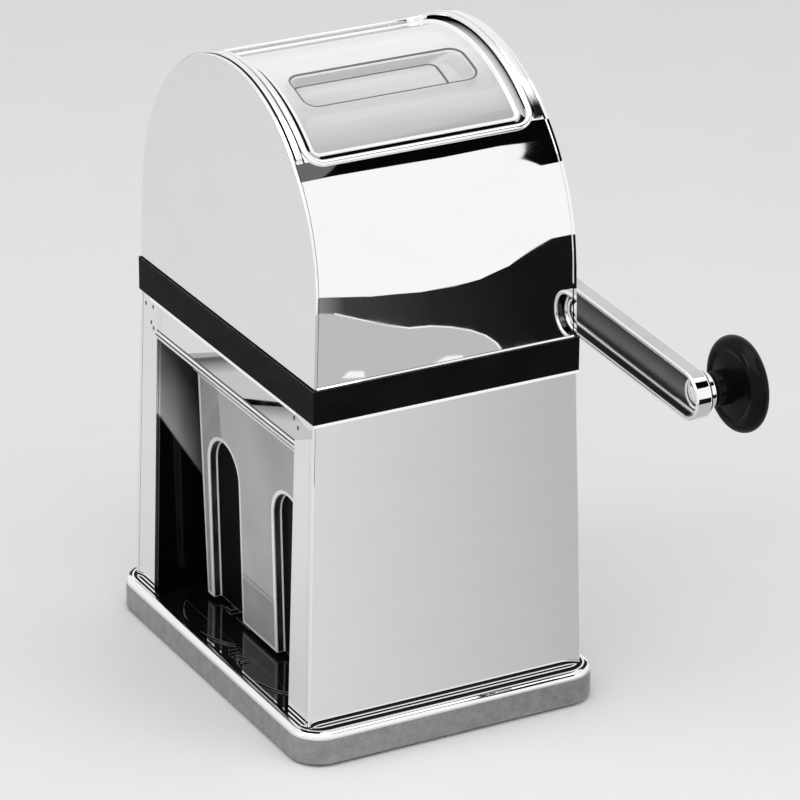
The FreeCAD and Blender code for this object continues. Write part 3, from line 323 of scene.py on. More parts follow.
@dataclass(frozen=True)
class ClearPlastic:
    """See-through plastic that is denser at its edges than face on, with an optional painted shade that darkens it
    lower down.
    """

    name: str
    colour: Colour
    deep: Colour
    face_alpha: float = 0.85
    edge_alpha: float = 1.0
    roughness: float = 0.04
    ramp: Pair | None = None
    coat: float = 1.0

    def dress(self) -> Material:
        """Make the material.

        Returns:
            The finished material.
        """
        graph = Graph(self.name)
        facing = graph.node("ShaderNodeLayerWeight", {}, {"Blend": 0.35}, output=1)
        cloud = graph.spread(graph.noise(30.0, 4.0), 0.0, 1.0)
        # painted shade: with a ramp the colour turns darker towards the lower heights
        if self.ramp:
            streak = graph.spread(graph.noise(260.0, 3.0, (0.06, 1.0, 1.0)), 0.0, 1.0)
            cloud = graph.spread(graph.along(2), 1.0, 0.0, *self.ramp) * 0.85 + streak * 0.1
        alpha = graph.spread(facing, self.face_alpha, self.edge_alpha, 0.0, 0.9)
        rough = graph.spread(graph.noise(90.0, 4.0), self.roughness, self.roughness + 0.08, 0.45, 0.8)
        wave = graph.bump(graph.noise(35.0, 1.0), 0.00002)
        return graph.close(Base_Color=graph.blend(cloud, self.colour, self.deep), Alpha=alpha, Roughness=rough,
                           Normal=wave, IOR=1.49, Coat_Weight=self.coat, Coat_Roughness=0.02)


@dataclass(frozen=True)
class BayWall:
    """Black glossy wall with a painted reflection: a grey sheen over a slanting line, fading upwards and inwards."""

    name: str = "bay wall"
    black: Colour = (0.002, 0.002, 0.002)
    sheen: Colour = (0.50, 0.505, 0.51)
    slant: float = 1.605
    edge: Pair = (-0.0012, 0.0004)
    fade: Pair = (0.002, 0.034)
    inward: Pair = (-0.052, -0.039)

    def dress(self) -> Material:
        """Make the material.

        Returns:
            The finished material.
        """
        graph = Graph(self.name)
        # painted reflection: grey above a slanting line, fading upwards and inwards
        line = graph.along(2) + graph.along(0) * self.slant
        over = graph.spread(line, 0.0, 1.0, *self.edge) * graph.spread(line, 1.0, 0.16, *self.fade)
        lit = over * graph.spread(graph.along(0), 1.0, 0.25, *self.inward)
        lit = lit * graph.spread(graph.noise(60.0, 3.0), 0.8, 1.0)
        rough = graph.spread(graph.noise(80.0, 4.0), 0.25, 0.4)
        coat = graph.spread(graph.noise(50.0, 3.0), 0.2, 0.3)
        return graph.close(Base_Color=graph.blend(lit, self.black, self.sheen), Roughness=rough, Coat_Weight=coat,
                           Coat_Roughness=0.03, Specular_IOR_Level=0.02)


@dataclass(frozen=True)
class Rubber:
    """Matt black rubber."""

    name: str = "foot rubber"
    colour: Colour = (0.02, 0.02, 0.02)
    dusty: Colour = (0.055, 0.053, 0.05)

    def dress(self) -> Material:
        """Make the material.

        Returns:
            The finished material.
        """
        graph = Graph(self.name)
        dust = graph.noise(160.0, 5.0)
        colour = graph.blend(graph.spread(dust, 0.0, 1.0), self.colour, self.dusty)
        return graph.close(Base_Color=colour, Roughness=graph.spread(dust, 0.6, 0.85),
                           Normal=graph.bump(graph.noise(1400.0, 3.0), 0.00005))


class Palette:
    """Every finish as a material, made once."""

    def __init__(self) -> None:
        """Make the materials."""
        clear, shade_dark = (0.95, 0.955, 0.96), (0.05, 0.05, 0.052)
        self.polished = PolishedSteel().dress()
        self.tray = BrushedSteel("tray steel", (0.40, 0.405, 0.41), (0.27, 0.275, 0.28), 0.30, (0.5, 0.5, 1.0),
                                 mottle=210.0).dress()
        self.black = MouldedPlastic("black plastic").dress()
        # painted light and shade across the crank arm's channel web
        self.channel = ChannelSteel().dress()
        # painted shade: a darker copy of the polished steel for the crank arm's upward-facing side
        self.satin = PolishedSteel("arm edge shaded steel", (0.59, 0.585, 0.58), (0.52, 0.515, 0.51), 0.05, 0.05).dress()
        # the right band's steel, with a painted dark reflection at its lower end
        self.band = PolishedSteel("band steel", shade=(0.2440, 0.2515)).dress()
        # dark steel for painted shade: shadow lines at the header and the dome's joint, the crank arm's channel walls;
        # also the tack welds
        self.groove = PolishedSteel("groove steel", shade_dark, (0.09, 0.09, 0.092), 0.08, 0.06).dress()
        # black liner with a painted reflection
        self.liner = BayWall().dress()
        self.floor = MouldedPlastic("floor gloss", roughness=0.3, peel=0.000008, coat=(0.75, 0.95)).dress()
        # the lid's clear plastic, with painted shade darkening it towards its lower parts
        self.clear = ClearPlastic("clear plastic", clear, (0.27, 0.275, 0.28), 0.50, 0.92,
                                  ramp=(0.232, 0.258)).dress()
        # painted highlight: near-white clear plastic for the lid's bright edges
        self.clear_highlight = ClearPlastic("clear plastic highlight", clear, (0.9, 0.91, 0.92)).dress()
        # painted shade: dark clear plastic for the lid's shaded edges
        self.clear_shade = ClearPlastic("clear plastic shade", shade_dark, (0.09, 0.09, 0.095)).dress()
        self.smoky = ClearPlastic("smoky plastic", (0.40, 0.405, 0.41), (0.30, 0.305, 0.31), 0.88, coat=0.3).dress()
        # painted highlight: pale smoky plastic for the container's bright edge lines
        self.smoky_highlight = ClearPlastic("smoky plastic highlight", (0.92, 0.925, 0.93), (0.75, 0.76, 0.77), 0.95).dress()
        # painted shade: black for the backs of the container's flutes, and dark grey for their sides
        self.smoky_shade = MouldedPlastic("smoky plastic shade").dress()
        self.smoky_side_shade = MouldedPlastic("smoky plastic side shade", (0.02, 0.02, 0.021), (0.10, 0.10, 0.105), 0.25,
                                         0.000006, (0.3, 0.6)).dress()
        # painted highlight: pale plastic for the bright edge lines of the floor moulding's lugs
        self.glint = MouldedPlastic("painted glint edge", (0.42, 0.425, 0.43), (0.22, 0.225, 0.23), 0.2, 0.000006,
                                    (0.5, 0.9), 0.3).dress()
        self.by_slot = {
            Slot.POLISHED: self.polished, Slot.BLACK: self.black, Slot.CLEAR: self.clear, Slot.SMOKY: self.smoky,
            Slot.BRUSHED: BrushedSteel().dress(), Slot.RUBBER: Rubber().dress(),
            Slot.PLAIN: BrushedSteel("plain steel", (0.52, 0.53, 0.54), (0.36, 0.36, 0.37), 0.32, (0.2, 1.0, 1.0),
                                     2200.0, 120.0).dress(),
            Slot.BRONZE: BrushedSteel("bearing bronze", (0.62, 0.44, 0.22), (0.42, 0.28, 0.13), 0.3,
                                      (0.2, 1.0, 1.0), 1800.0, 120.0).dress(),
            Slot.KNOB: MouldedPlastic("knob plastic", roughness=0.3, peel=0.000006, coat=(0.10, 0.18)).dress(),
        }


# ---------------------------------------------------------------- mesh helpers


def crease_edges(shape: Mesh, angle: float = 30.0) -> list[Edge]:
    """Edges where two faces meet at more than an angle in degrees."""
    limit = math.radians(angle)
    return [edge for edge in shape.edges if len(edge.link_faces) == 2 and edge.calc_face_angle(0.0) > limit]


def soften(shape: Mesh, width: float, segments: int = 2, edges: Iterable[Edge] | None = None) -> set[Face]:
    """Round edges.

    Args:
        shape: Mesh to change.
        width: Width of the rounding.
        segments: Steps across it.
        edges: Edges to round, or None for every crease.

    Returns:
        The new faces.
    """
    chosen = crease_edges(shape) if edges is None else list(edges)
    made = bmesh.ops.bevel(shape, geom=chosen, offset=width, offset_type="OFFSET", segments=segments, profile=0.5,
                           affect="EDGES", clamp_overlap=True, material=-1)
    return set(made["faces"])


def cut(shape: Mesh, place: Vector, normal: Vector, **options: bool) -> None:
    """Cut a mesh with a plane."""
    geometry = shape.verts[:] + shape.edges[:] + shape.faces[:]
    bmesh.ops.bisect_plane(shape, geom=geometry, plane_co=place, plane_no=normal, **options)


def thicken(shape: Mesh, depth: float) -> None:
    """Give the faces of an open sheet a second side, below it."""
    made = bmesh.ops.extrude_face_region(shape, geom=shape.faces[:], use_keep_orig=True)["geom"]
    bmesh.ops.translate(shape, vec=(0.0, 0.0, -depth), verts=[item for item in made if isinstance(item, Vert)])


def add_box(shape: Mesh, *spans: Pair) -> list[Vert]:
    """Add a box.

    Args:
        shape: Mesh to add to.
        *spans: The box's ends along X, Y and Z.

    Returns:
        Its corners.
    """
    corners = bmesh.ops.create_cube(shape, size=1.0)["verts"]
    for corner in corners:
        corner.co = [(low + high) / 2 + place * (high - low) for place, (low, high) in zip(corner.co, spans)]
    return corners


def lathe(*outlines: Points, steps: int = 96, place: Colour = (0.0, 0.0, 0.0)) -> Mesh:
    """Turn outlines about a line along X.

    Args:
        *outlines: Points as place along X and radius.
        steps: Steps round the turn.
        place: A point of the line.

    Returns:
        The mesh.
    """
    shape = bmesh.new()
    for outline in outlines:
        old = set(shape.verts)
        corners = [shape.verts.new((along, 0.0, radius)) for along, radius in outline]
        chain = [shape.edges.new(pair) for pair in zip(corners, corners[1:])]
        bmesh.ops.spin(shape, geom=corners + chain, cent=(0, 0, 0), axis=(1, 0, 0), dvec=(0, 0, 0),
                       angle=math.tau, steps=steps, use_merge=True, use_duplicate=False)
        bmesh.ops.remove_doubles(shape, verts=[vert for vert in shape.verts if vert not in old], dist=1e-4)
    bmesh.ops.translate(shape, vec=place, verts=shape.verts)
    return shape


def arc(centre: Pair, radius: float, first: float, last: float, steps: int) -> list[Pair]:
    """Points along an arc between two angles in degrees, in a number of steps."""
    angles = [math.radians(first + (last - first) * step / steps) for step in range(steps + 1)]
    return [(centre[0] + radius * math.cos(angle), centre[1] + radius * math.sin(angle)) for angle in angles]


@dataclass(frozen=True)
class Ring:
    """A rounded rectangle at a height."""

    half_x: float
    half_y: float
    corner: float
    z: float
    x: float = 0.0
    y: float = 0.0

    def point(self, number: int, steps: int) -> Vector:
        """Point of the ring.

        Args:
            number: Number of the point, counted round the ring.
            steps: Steps round each corner.

        Returns:
            The point.
        """
        quarter, step = divmod(number, steps + 1)
        angle = math.radians(90.0 * (quarter + step / steps))
        side_x, side_y = ((1, 1), (-1, 1), (-1, -1), (1, -1))[quarter]
        corner = max(self.corner, 0.01)
        return Vector((
            self.x + side_x * (self.half_x - corner) + corner * math.cos(angle),
            self.y + side_y * (self.half_y - corner) + corner * math.sin(angle),
            self.z,
        ))


def ring_shell(rings: Sequence[Ring], steps: int, capped: bool = False) -> Mesh:
    """Shell drawn through rounded rectangles, one extrusion after another.

    Args:
        rings: The rings in order.
        steps: Steps round each corner.
        capped: Whether the first and the last ring are filled.

    Returns:
        The mesh.
    """
    shape = bmesh.new()
    order = shape.verts.layers.int.new("order")
    corners = bmesh.ops.create_circle(shape, cap_ends=False, segments=4 * (steps + 1), radius=1.0)["verts"]
    for number, corner in enumerate(corners):
        corner[order] = number
        corner.co = rings[0].point(number, steps)
    loop = first = shape.edges[:]
    for ring in rings[1:]:
        made = bmesh.ops.extrude_edge_only(shape, edges=loop)["geom"]
        loop = [item for item in made if isinstance(item, Edge) and item.is_boundary]
        for item in made:
            if isinstance(item, Vert):
                item.co = ring.point(item[order], steps)
    for end in (first, loop) if capped else ():
        bmesh.ops.edgeloop_fill(shape, edges=end)
    bmesh.ops.remove_doubles(shape, verts=shape.verts, dist=1e-3)
    return shape


def add_object(name: str, data: bpy.types.ID) -> bpy.types.Object:
    """Put an object with its data into the scene."""
    bpy.context.scene.collection.objects.link(bpy.data.objects.new(name, data))
    return bpy.data.objects[name]


def add_mesh(shape: Mesh, name: str, materials: Iterable[Material]) -> bpy.types.Object:
    """Put a mesh into the scene.

    Args:
        shape: The mesh; it is freed.
        name: Name of the object.
        materials: Its finishes by face number.

    Returns:
        The object.
    """
    data = bpy.data.meshes.new(name)
    shape.to_mesh(data)
    shape.free()
    for material in materials:
        data.materials.append(material)
    return add_object(name, data)


# ---------------------------------------------------------------- sub-assemblies


@dataclass
class Assembly:
    """A sub-assembly that finishes its meshes into pieces that ride on their bodies."""

    looks: Palette

    def finish(self, shape: Mesh, name: str, node: str = "", finishes: Sequence[Material] = (),
               body: Body = Body.CABINET, slot: Slot = Slot.POLISHED, copied: bool = False,
               smooth: float = 32.0) -> None:
        """Turn a mesh into a piece.

        Args:
            shape: The mesh; it is freed.
            name: Name of the piece.
            node: Node that it stands for, if any.
            finishes: Its finishes by face number, or none for the slot's own.
            body: Body that it rides on.
            slot: Material slot that it stands for.
            copied: Whether it is a node's copy, in metres and with its normals right.
            smooth: Angle in degrees below which edges look smooth.
        """
        if not copied:
            bmesh.ops.recalc_face_normals(shape, faces=shape.faces)
            bmesh.ops.scale(shape, vec=(MM, MM, MM), verts=shape.verts)
        piece = add_mesh(shape, name, finishes or (self.looks.by_slot[slot],))
        piece.data.polygons.foreach_set("use_smooth", [True] * len(piece.data.polygons))
        piece.data.set_sharp_from_angle(angle=math.radians(smooth))
        weights = piece.modifiers.new("face weights", "WEIGHTED_NORMAL")
        weights.keep_sharp = True
        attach(piece, body.value)
        if node:
            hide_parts(node)
        LOG.info("%s: %d faces, rides on %s", name, len(piece.data.polygons), body.value)

    @staticmethod
    def copy(node: str) -> Mesh:
        """Copy of a node, in metres, with its faces joined up.

        Args:
            node: Name of the node.

        Returns:
            The mesh.
        """
        shape = bmesh.new()
        shape.from_mesh(frame["nodes"][node].data)
        bmesh.ops.remove_doubles(shape, verts=shape.verts, dist=WELD)
        bmesh.ops.dissolve_limit(shape, angle_limit=FLAT, verts=shape.verts, edges=shape.edges,
                                 use_dissolve_boundaries=False)
        return shape


@dataclass
class Tray(Assembly):
    """Pressed tray under the cabinet, with its moulded floor."""

    half_x: float = 66.75
    half_y: float = 85.75
    corner: float = 13.0
    bottom: float = 1.0
    top: float = 14.5
    wall: float = 1.6
    shoulder: float = 2.6
    groove: Pair = (3.0, 5.8)
    window_x: float = -4.475
    window_half: Pair = (59.425, 73.95)
    window_corner: float = 3.0
    floor_top: float = 12.7
    floor_easing: float = 0.3

    def build(self) -> None:
        """Build the tray and dress the floor."""
        top, wall = self.top, self.wall
        rows = [(wall, top - wall), (wall, self.bottom), (0.4, self.bottom), (0.0, self.bottom + 0.5)]
        rows += [(self.shoulder - across, top - self.shoulder + up)
                 for across, up in arc((0.0, 0.0), self.shoulder, 0.0, 90.0, 6)]
        rows += [(3.3, top), (3.45, top - 0.3)]
        feet = ((4.3, 5.9, 7.6, 0.3), (4.4, 6.1, 7.4, 0.0), (5.2, 7.0, 6.0, 0.0), (5.25, 7.1, 5.9, 0.2),
                (5.75, 7.8, 5.0, 0.2))
        rings = [self.window_ring(top - wall)]
        rings += [Ring(self.half_x - inset, self.half_y - inset, self.corner - inset, height) for inset, height in rows]
        rings += [Ring(self.half_x - x, self.half_y - y, corner, top - down) for x, y, corner, down in feet]
        rings += [self.window_ring(top, 0.5), self.window_ring(top - 0.15, 0.12), self.window_ring(top - 0.5),
                  self.window_ring(top - wall)]
        shape = ring_shell(rings, 14)
        for face in shape.faces:
            middle = face.calc_center_median()
            face.material_index = int(middle.z < top - self.shoulder * 0.93)
            # painted shadow: the shallow groove between the bead and the panels' feet is black
            if top - 0.31 < middle.z < top - 0.04 and self.in_groove(middle):
                face.material_index = 2
        self.finish(shape, "tray_pressing", "base_tray", (self.looks.polished, self.looks.tray, self.looks.black))
        shape = self.copy("floor_pan")
        for face in soften(shape, self.floor_easing * MM):
            # painted highlight: the eased upper edges of the lugs take the pale glint finish
            face.material_index = int(face.calc_center_median().z >= self.floor_top * MM and face.normal.z >= 0.3)
        self.finish(shape, "floor_moulding", "floor_pan", (self.looks.floor, self.looks.glint), slot=Slot.BLACK,
                    copied=True)

    def in_groove(self, place: Vector) -> bool:
        """Whether a point lies between the bead and the panels' feet."""
        x, y = self.half_x - abs(place.x), self.half_y - abs(place.y)
        return min(x, y) > self.groove[0] and (x < self.groove[1] or y < self.groove[1] + 2.1)

    def window_ring(self, height: float, grow: float = 0.0) -> Ring:
        """Ring of the tray's window, at a height and a distance outside it."""
        half_x, half_y = self.window_half
        return Ring(half_x + grow, half_y + grow, self.window_corner + grow, height, x=self.window_x)


@dataclass
class Cabinet(Assembly):
    """Lower cabinet sheets, the drawer bay's frame and the black middle frame."""

    fold: float = 0.9
    fold_zone: float = 2.1
    fold_x: float = 60.5
    edge: float = 0.22
    frame_easing: float = 0.35
    header: Pair = (124.8, 142.0)
    end_foot: float = 61.0
    end_lean: float = 0.026186
    end_height: float = 14.5
    tacks: Points = ((70.8, 137.7), (64.2, 138.4), (65.8, 131.2), (63.6, 129.4), (-59.9, 138.8), (-63.3, 136.0))

    def build(self) -> None:
        """Build the cabinet's pieces."""
        for node in ("front_panel", "rear_panel"):
            shape = self.copy(node)
            reach = max(abs(vert.co.y) for vert in shape.verts)
            soften(shape, self.fold * MM, 4, [edge for edge in crease_edges(shape) if self.is_fold(edge, reach)])
            self.finish(shape, node + "_sheet", node, copied=True)
        for node in ("crank_end_panel", "bay_frame"):
            shape = self.copy(node)
            soften(shape, self.edge * MM)
            self.finish(shape, node + "_eased", node, copied=True)
        shape = self.copy("mid_frame")
        for face in soften(shape, self.frame_easing * MM):
            # painted highlight: the black frame's eased edges take polished steel to show bright lines
            face.material_index = int(0.3 < abs(face.normal.z) < 0.88)
        self.finish(shape, "mid_frame_moulding", "mid_frame", (self.looks.black, self.looks.polished),
                    slot=Slot.BLACK, copied=True)
        self.build_header()
        self.build_lips()

    def build_header(self) -> None:
        """Lay the painted shadow lines under the header's folded lip and just below its top edge, the tack welds at its
        ends, and the lip.
        """
        low, high = self.header
        shape = bmesh.new()
        # painted shadow lines: dark bars under the folded lip and just below the header's top edge
        self.add_line(shape, (-60.0, 62.0), (low + 2.6, low + 3.1))
        self.add_line(shape, (-58.0, 55.0), (high - 1.2, high - 0.9))
        for across, height in self.tacks:
            self.add_line(shape, (across - 0.6, across + 0.6), (height - 0.75, height + 0.75))
        self.finish(shape, "header_shadow_lines_and_tacks", finishes=(self.looks.groove,))
        shape = bmesh.new()
        self.add_line(shape, (-62.0, 66.0), (high - 0.85, high - 0.05), 0.8)
        self.finish(shape, "header_lip")

    def build_lips(self) -> None:
        """Lay the bright lips of the sheets over and under the black frame's front."""
        for name, half, (foot, head, inside), (bottom, top) in (
            ("front_lip", 57.9, (-76.7, -76.15, -75.6), (140.95, 141.97)),
            ("dome_lip", 56.0, (-75.6, -75.03, -74.5), (156.03, 156.5)),
        ):
            shape = bmesh.new()
            for corner in add_box(shape, (-half, half), (foot, inside), (bottom, top)):
                if corner.co.z > (bottom + top) / 2 and corner.co.y < head:
                    corner.co.y = head
            self.finish(shape, name)

    def add_line(self, shape: Mesh, along: Pair, height: Pair, slope: float = 0.0) -> None:
        """Add a thin bar to the drawer end's face.

        Args:
            shape: Mesh to add to.
            along: Its ends along the face.
            height: Its lower and its upper edge.
            slope: How far its lower edge stands out.
        """
        for corner in add_box(shape, (-1.0, 1.0), along, height):
            depth = 0.06 + slope * (corner.co.z < sum(height) / 2) if corner.co.x < 0 else -0.3
            corner.co.x = self.end_lean * (corner.co.z - self.end_height) - self.end_foot - depth

    def is_fold(self, edge: Edge, reach: float) -> bool:
        """Whether an edge is a sheet's outer upright fold.

        Args:
            edge: Edge to test.
            reach: Distance of the sheet from the middle, across.

        Returns:
            The answer.
        """
        first, last = (vert.co for vert in edge.verts)
        outer = min(abs(first.y), abs(last.y)) > reach - self.fold_zone * MM
        return outer and abs(first.z - last.z) > 50.0 * MM and max(abs(first.x), abs(last.x)) > self.fold_x * MM


@dataclass
class Arch(Assembly):
    """Arch that the dome, the opening and the lid share."""

    radius: float = 74.977
    axis_height: float = 187.0
    foot_height: float = 156.0
    opening_half: float = 47.32
    opening_angles: Pair = (44.0, 118.0)
    opening_corner: float = 6.0
    row: float = 2.5

    def flat(self, angle: float) -> float:
        """Distance along the arch from its crown to the rear, by the angle in degrees from the front."""
        return math.radians(angle - 90.0) * self.radius

    def opening(self, grow: float = 0.0) -> Pair:
        """Ends of the opening along the arch, at an angle in degrees outside it."""
        front, rear = self.opening_angles
        return self.flat(front - grow), self.flat(rear + grow)

    def bend(self, shape: Mesh) -> None:
        """Bend a flat mesh over the arch and down its straight sides.

        Args:
            shape: Mesh whose Y runs along the arch from the crown and whose Z is the height over it.
        """
        quarter = self.flat(180.0)
        for step in range(int(180 / self.row) + 1):
            cut(shape, Vector((0.0, self.flat(self.row * step), 0.0)), Vector((0.0, 1.0, 0.0)), dist=1e-5)
        for vert in shape.verts:
            along = max(-quarter, min(quarter, vert.co.y))
            beyond = abs(vert.co.y) - abs(along)
            reach = self.radius + vert.co.z
            vert.co.y = reach * math.sin(along / self.radius)
            vert.co.z = self.axis_height + reach * math.cos(along / self.radius) - beyond


@dataclass
class Housing(Arch):
    """Arched housing: dome, end plates, opening rim and side bands."""

    foot_half: float = 57.294
    lean: float = math.tan(math.radians(1.5))
    sheet: float = 1.0
    plate: float = 1.2
    proud: float = 0.5
    rim_width: float = 2.5
    rim_rise: float = 1.1
    band_angles: Pair = (45.0, 135.0)
    band_rise: float = 1.6
    band_easing: float = 0.55
    joint: float = 0.6
    joint_height: Pair = (-0.05, 0.06)

    def end_x(self, height: float) -> float:
        """Half length of the housing at a height."""
        return self.foot_half - self.lean * (height - self.foot_height)

    def build(self) -> None:
        """Build the housing's pieces."""
        self.build_dome()
        for side, word in ((-1, "left"), (1, "right")):
            self.build_end_plate(side, word)
            self.build_band(side, word)
        self.build_rim()

    def build_dome(self) -> None:
        """Build the polished sheet with the square-cut opening under the rim, and a painted shadow line along its joint
        with the left end.
        """
        shape = bmesh.new()
        bmesh.ops.create_grid(shape, x_segments=3, y_segments=3, size=1.5)
        reach = self.flat(180.0) + self.axis_height - self.foot_height
        columns = (-self.foot_half, -self.opening_half, self.opening_half, self.foot_half)
        rows = (-reach, *self.opening(), reach)
        for vert in shape.verts:
            vert.co.x, vert.co.y = columns[round(vert.co.x + 1.5)], rows[round(vert.co.y + 1.5)]
        middle = [face for face in shape.faces if abs(face.calc_center_median().x) < 1.0]
        opening = min(middle, key=lambda face: abs(face.calc_center_median().y))
        bmesh.ops.delete(shape, geom=[opening], context="FACES")
        thicken(shape, self.sheet)
        self.bend(shape)
        for vert in shape.verts:
            if abs(vert.co.x) > self.opening_half + 1.0:
                vert.co.x = math.copysign(self.end_x(vert.co.z) - self.plate, vert.co.x)
        self.finish(shape, "dome_sheet", "dome_shell")
        # painted shadow: a dark strip along the dome's joint with the left end plate
        shape = bmesh.new()
        add_box(shape, (0.0, 0.45), (-reach, self.flat(self.band_angles[0])), self.joint_height)
        self.bend(shape)
        for vert in shape.verts:
            vert.co.x += self.plate - self.end_x(vert.co.z)
        self.finish(shape, "dome_joint_shadow", finishes=(self.looks.groove,))

    def build_end_plate(self, side: int, word: str) -> None:
        """Build one arch-shaped end.

        Args:
            side: -1 for the drawer end, 1 for the crank end.
            word: Side in words.
        """
        shape = bmesh.new()
        bmesh.ops.create_circle(shape, cap_ends=True, segments=240, radius=self.radius + self.proud)
        cut(shape, Vector(), Vector((0.0, 1.0, 0.0)), clear_inner=True)
        base = [edge for edge in shape.edges if all(abs(vert.co.y) < 1e-4 for vert in edge.verts)]
        made = bmesh.ops.extrude_edge_only(shape, edges=base)["geom"]
        bmesh.ops.translate(shape, vec=(0.0, self.foot_height - self.axis_height, 0.0),
                            verts=[item for item in made if isinstance(item, Vert)])
        bmesh.ops.recalc_face_normals(shape, faces=shape.faces)
        bmesh.ops.dissolve_limit(shape, angle_limit=0.01, verts=shape.verts, edges=shape.edges,
                                 use_dissolve_boundaries=False)
        thicken(shape, self.plate)
        rim = [edge for edge in crease_edges(shape, 60.0) if all(vert.co.z > -0.01 for vert in edge.verts)]
        soften(shape, 0.45 if side < 0 else 0.12, 3, rim)
        for vert in shape.verts:
            across, height, depth = vert.co
            height += self.axis_height
            vert.co = Vector((side * (self.end_x(height) + depth), across, height))
        self.finish(shape, word + "_end_sheet", word + "_end_plate")

    def build_band(self, side: int, word: str) -> None:
        """Build one raised strip beside the opening, with black strips along it as the painted shadow of its joint
        gaps.

        Args:
            side: -1 for the drawer end, 1 for the crank end.
            word: Side in words.
        """
        front, rear = (self.flat(angle) for angle in self.band_angles)
        end = self.end_x(self.axis_height + self.radius) - self.plate
        rim_edge = self.opening_half + self.rim_width
        inner, outer = rim_edge + self.joint * (side < 0), end - self.joint
        shape = bmesh.new()
        add_box(shape, (inner, outer), (front, rear), (0.0, self.band_rise))
        top = [edge for edge in shape.edges if sum(vert.co.z for vert in edge.verts) > self.band_rise]
        for face in soften(shape, self.band_easing, 3, top):
            # painted shadow: on the left band the eased faces along its inner edge are black
            face.material_index = int(side < 0 and face.calc_center_median().x < inner + 0.5)
        # painted shadow: black strips lie in the joint gaps beside the band
        for span in ((rim_edge, inner), (outer, end))[side > 0:]:
            joint = add_box(shape, span, (self.flat(self.band_angles[0] - 1.0), rear), self.joint_height)
            for face in {face for corner in joint for face in corner.link_faces}:
                face.material_index = 1
        self.bend(shape)
        for vert in shape.verts:
            if vert.co.x > (end + rim_edge) / 2:
                vert.co.x += self.end_x(vert.co.z) - self.plate - end
            vert.co.x *= side
        # the right band takes the steel with the painted dark reflection at its lower end
        finishes = (self.looks.polished if side < 0 else self.looks.band, self.looks.black)
        self.finish(shape, word + "_band_strip", word + "_side_band", finishes)

    def build_rim(self) -> None:
        """Build the raised frame round the opening."""
        front, rear = self.opening()
        half, width, rise, foot = (rear - front) / 2, self.rim_width, self.rim_rise, self.rim_rise * 0.35
        crown = arc((width / 2, 0.0), width / 2, 180.0, 0.0, 10)
        rows = [(0.0, -self.sheet), (0.0, foot)]
        rows += [(across, foot + up * rise * 0.65 / (width / 2)) for across, up in crown[1:-1]]
        rows += [(width, foot), (width, 0.0), (width - 0.8, self.joint_height[0]), (0.0, -self.sheet)]
        shape = ring_shell([
            Ring(self.opening_half + inset, half + inset, self.opening_corner + inset, height, y=(front + rear) / 2)
            for inset, height in rows
        ], 10)
        self.bend(shape)
        self.finish(shape, "opening_frame", "opening_rim")


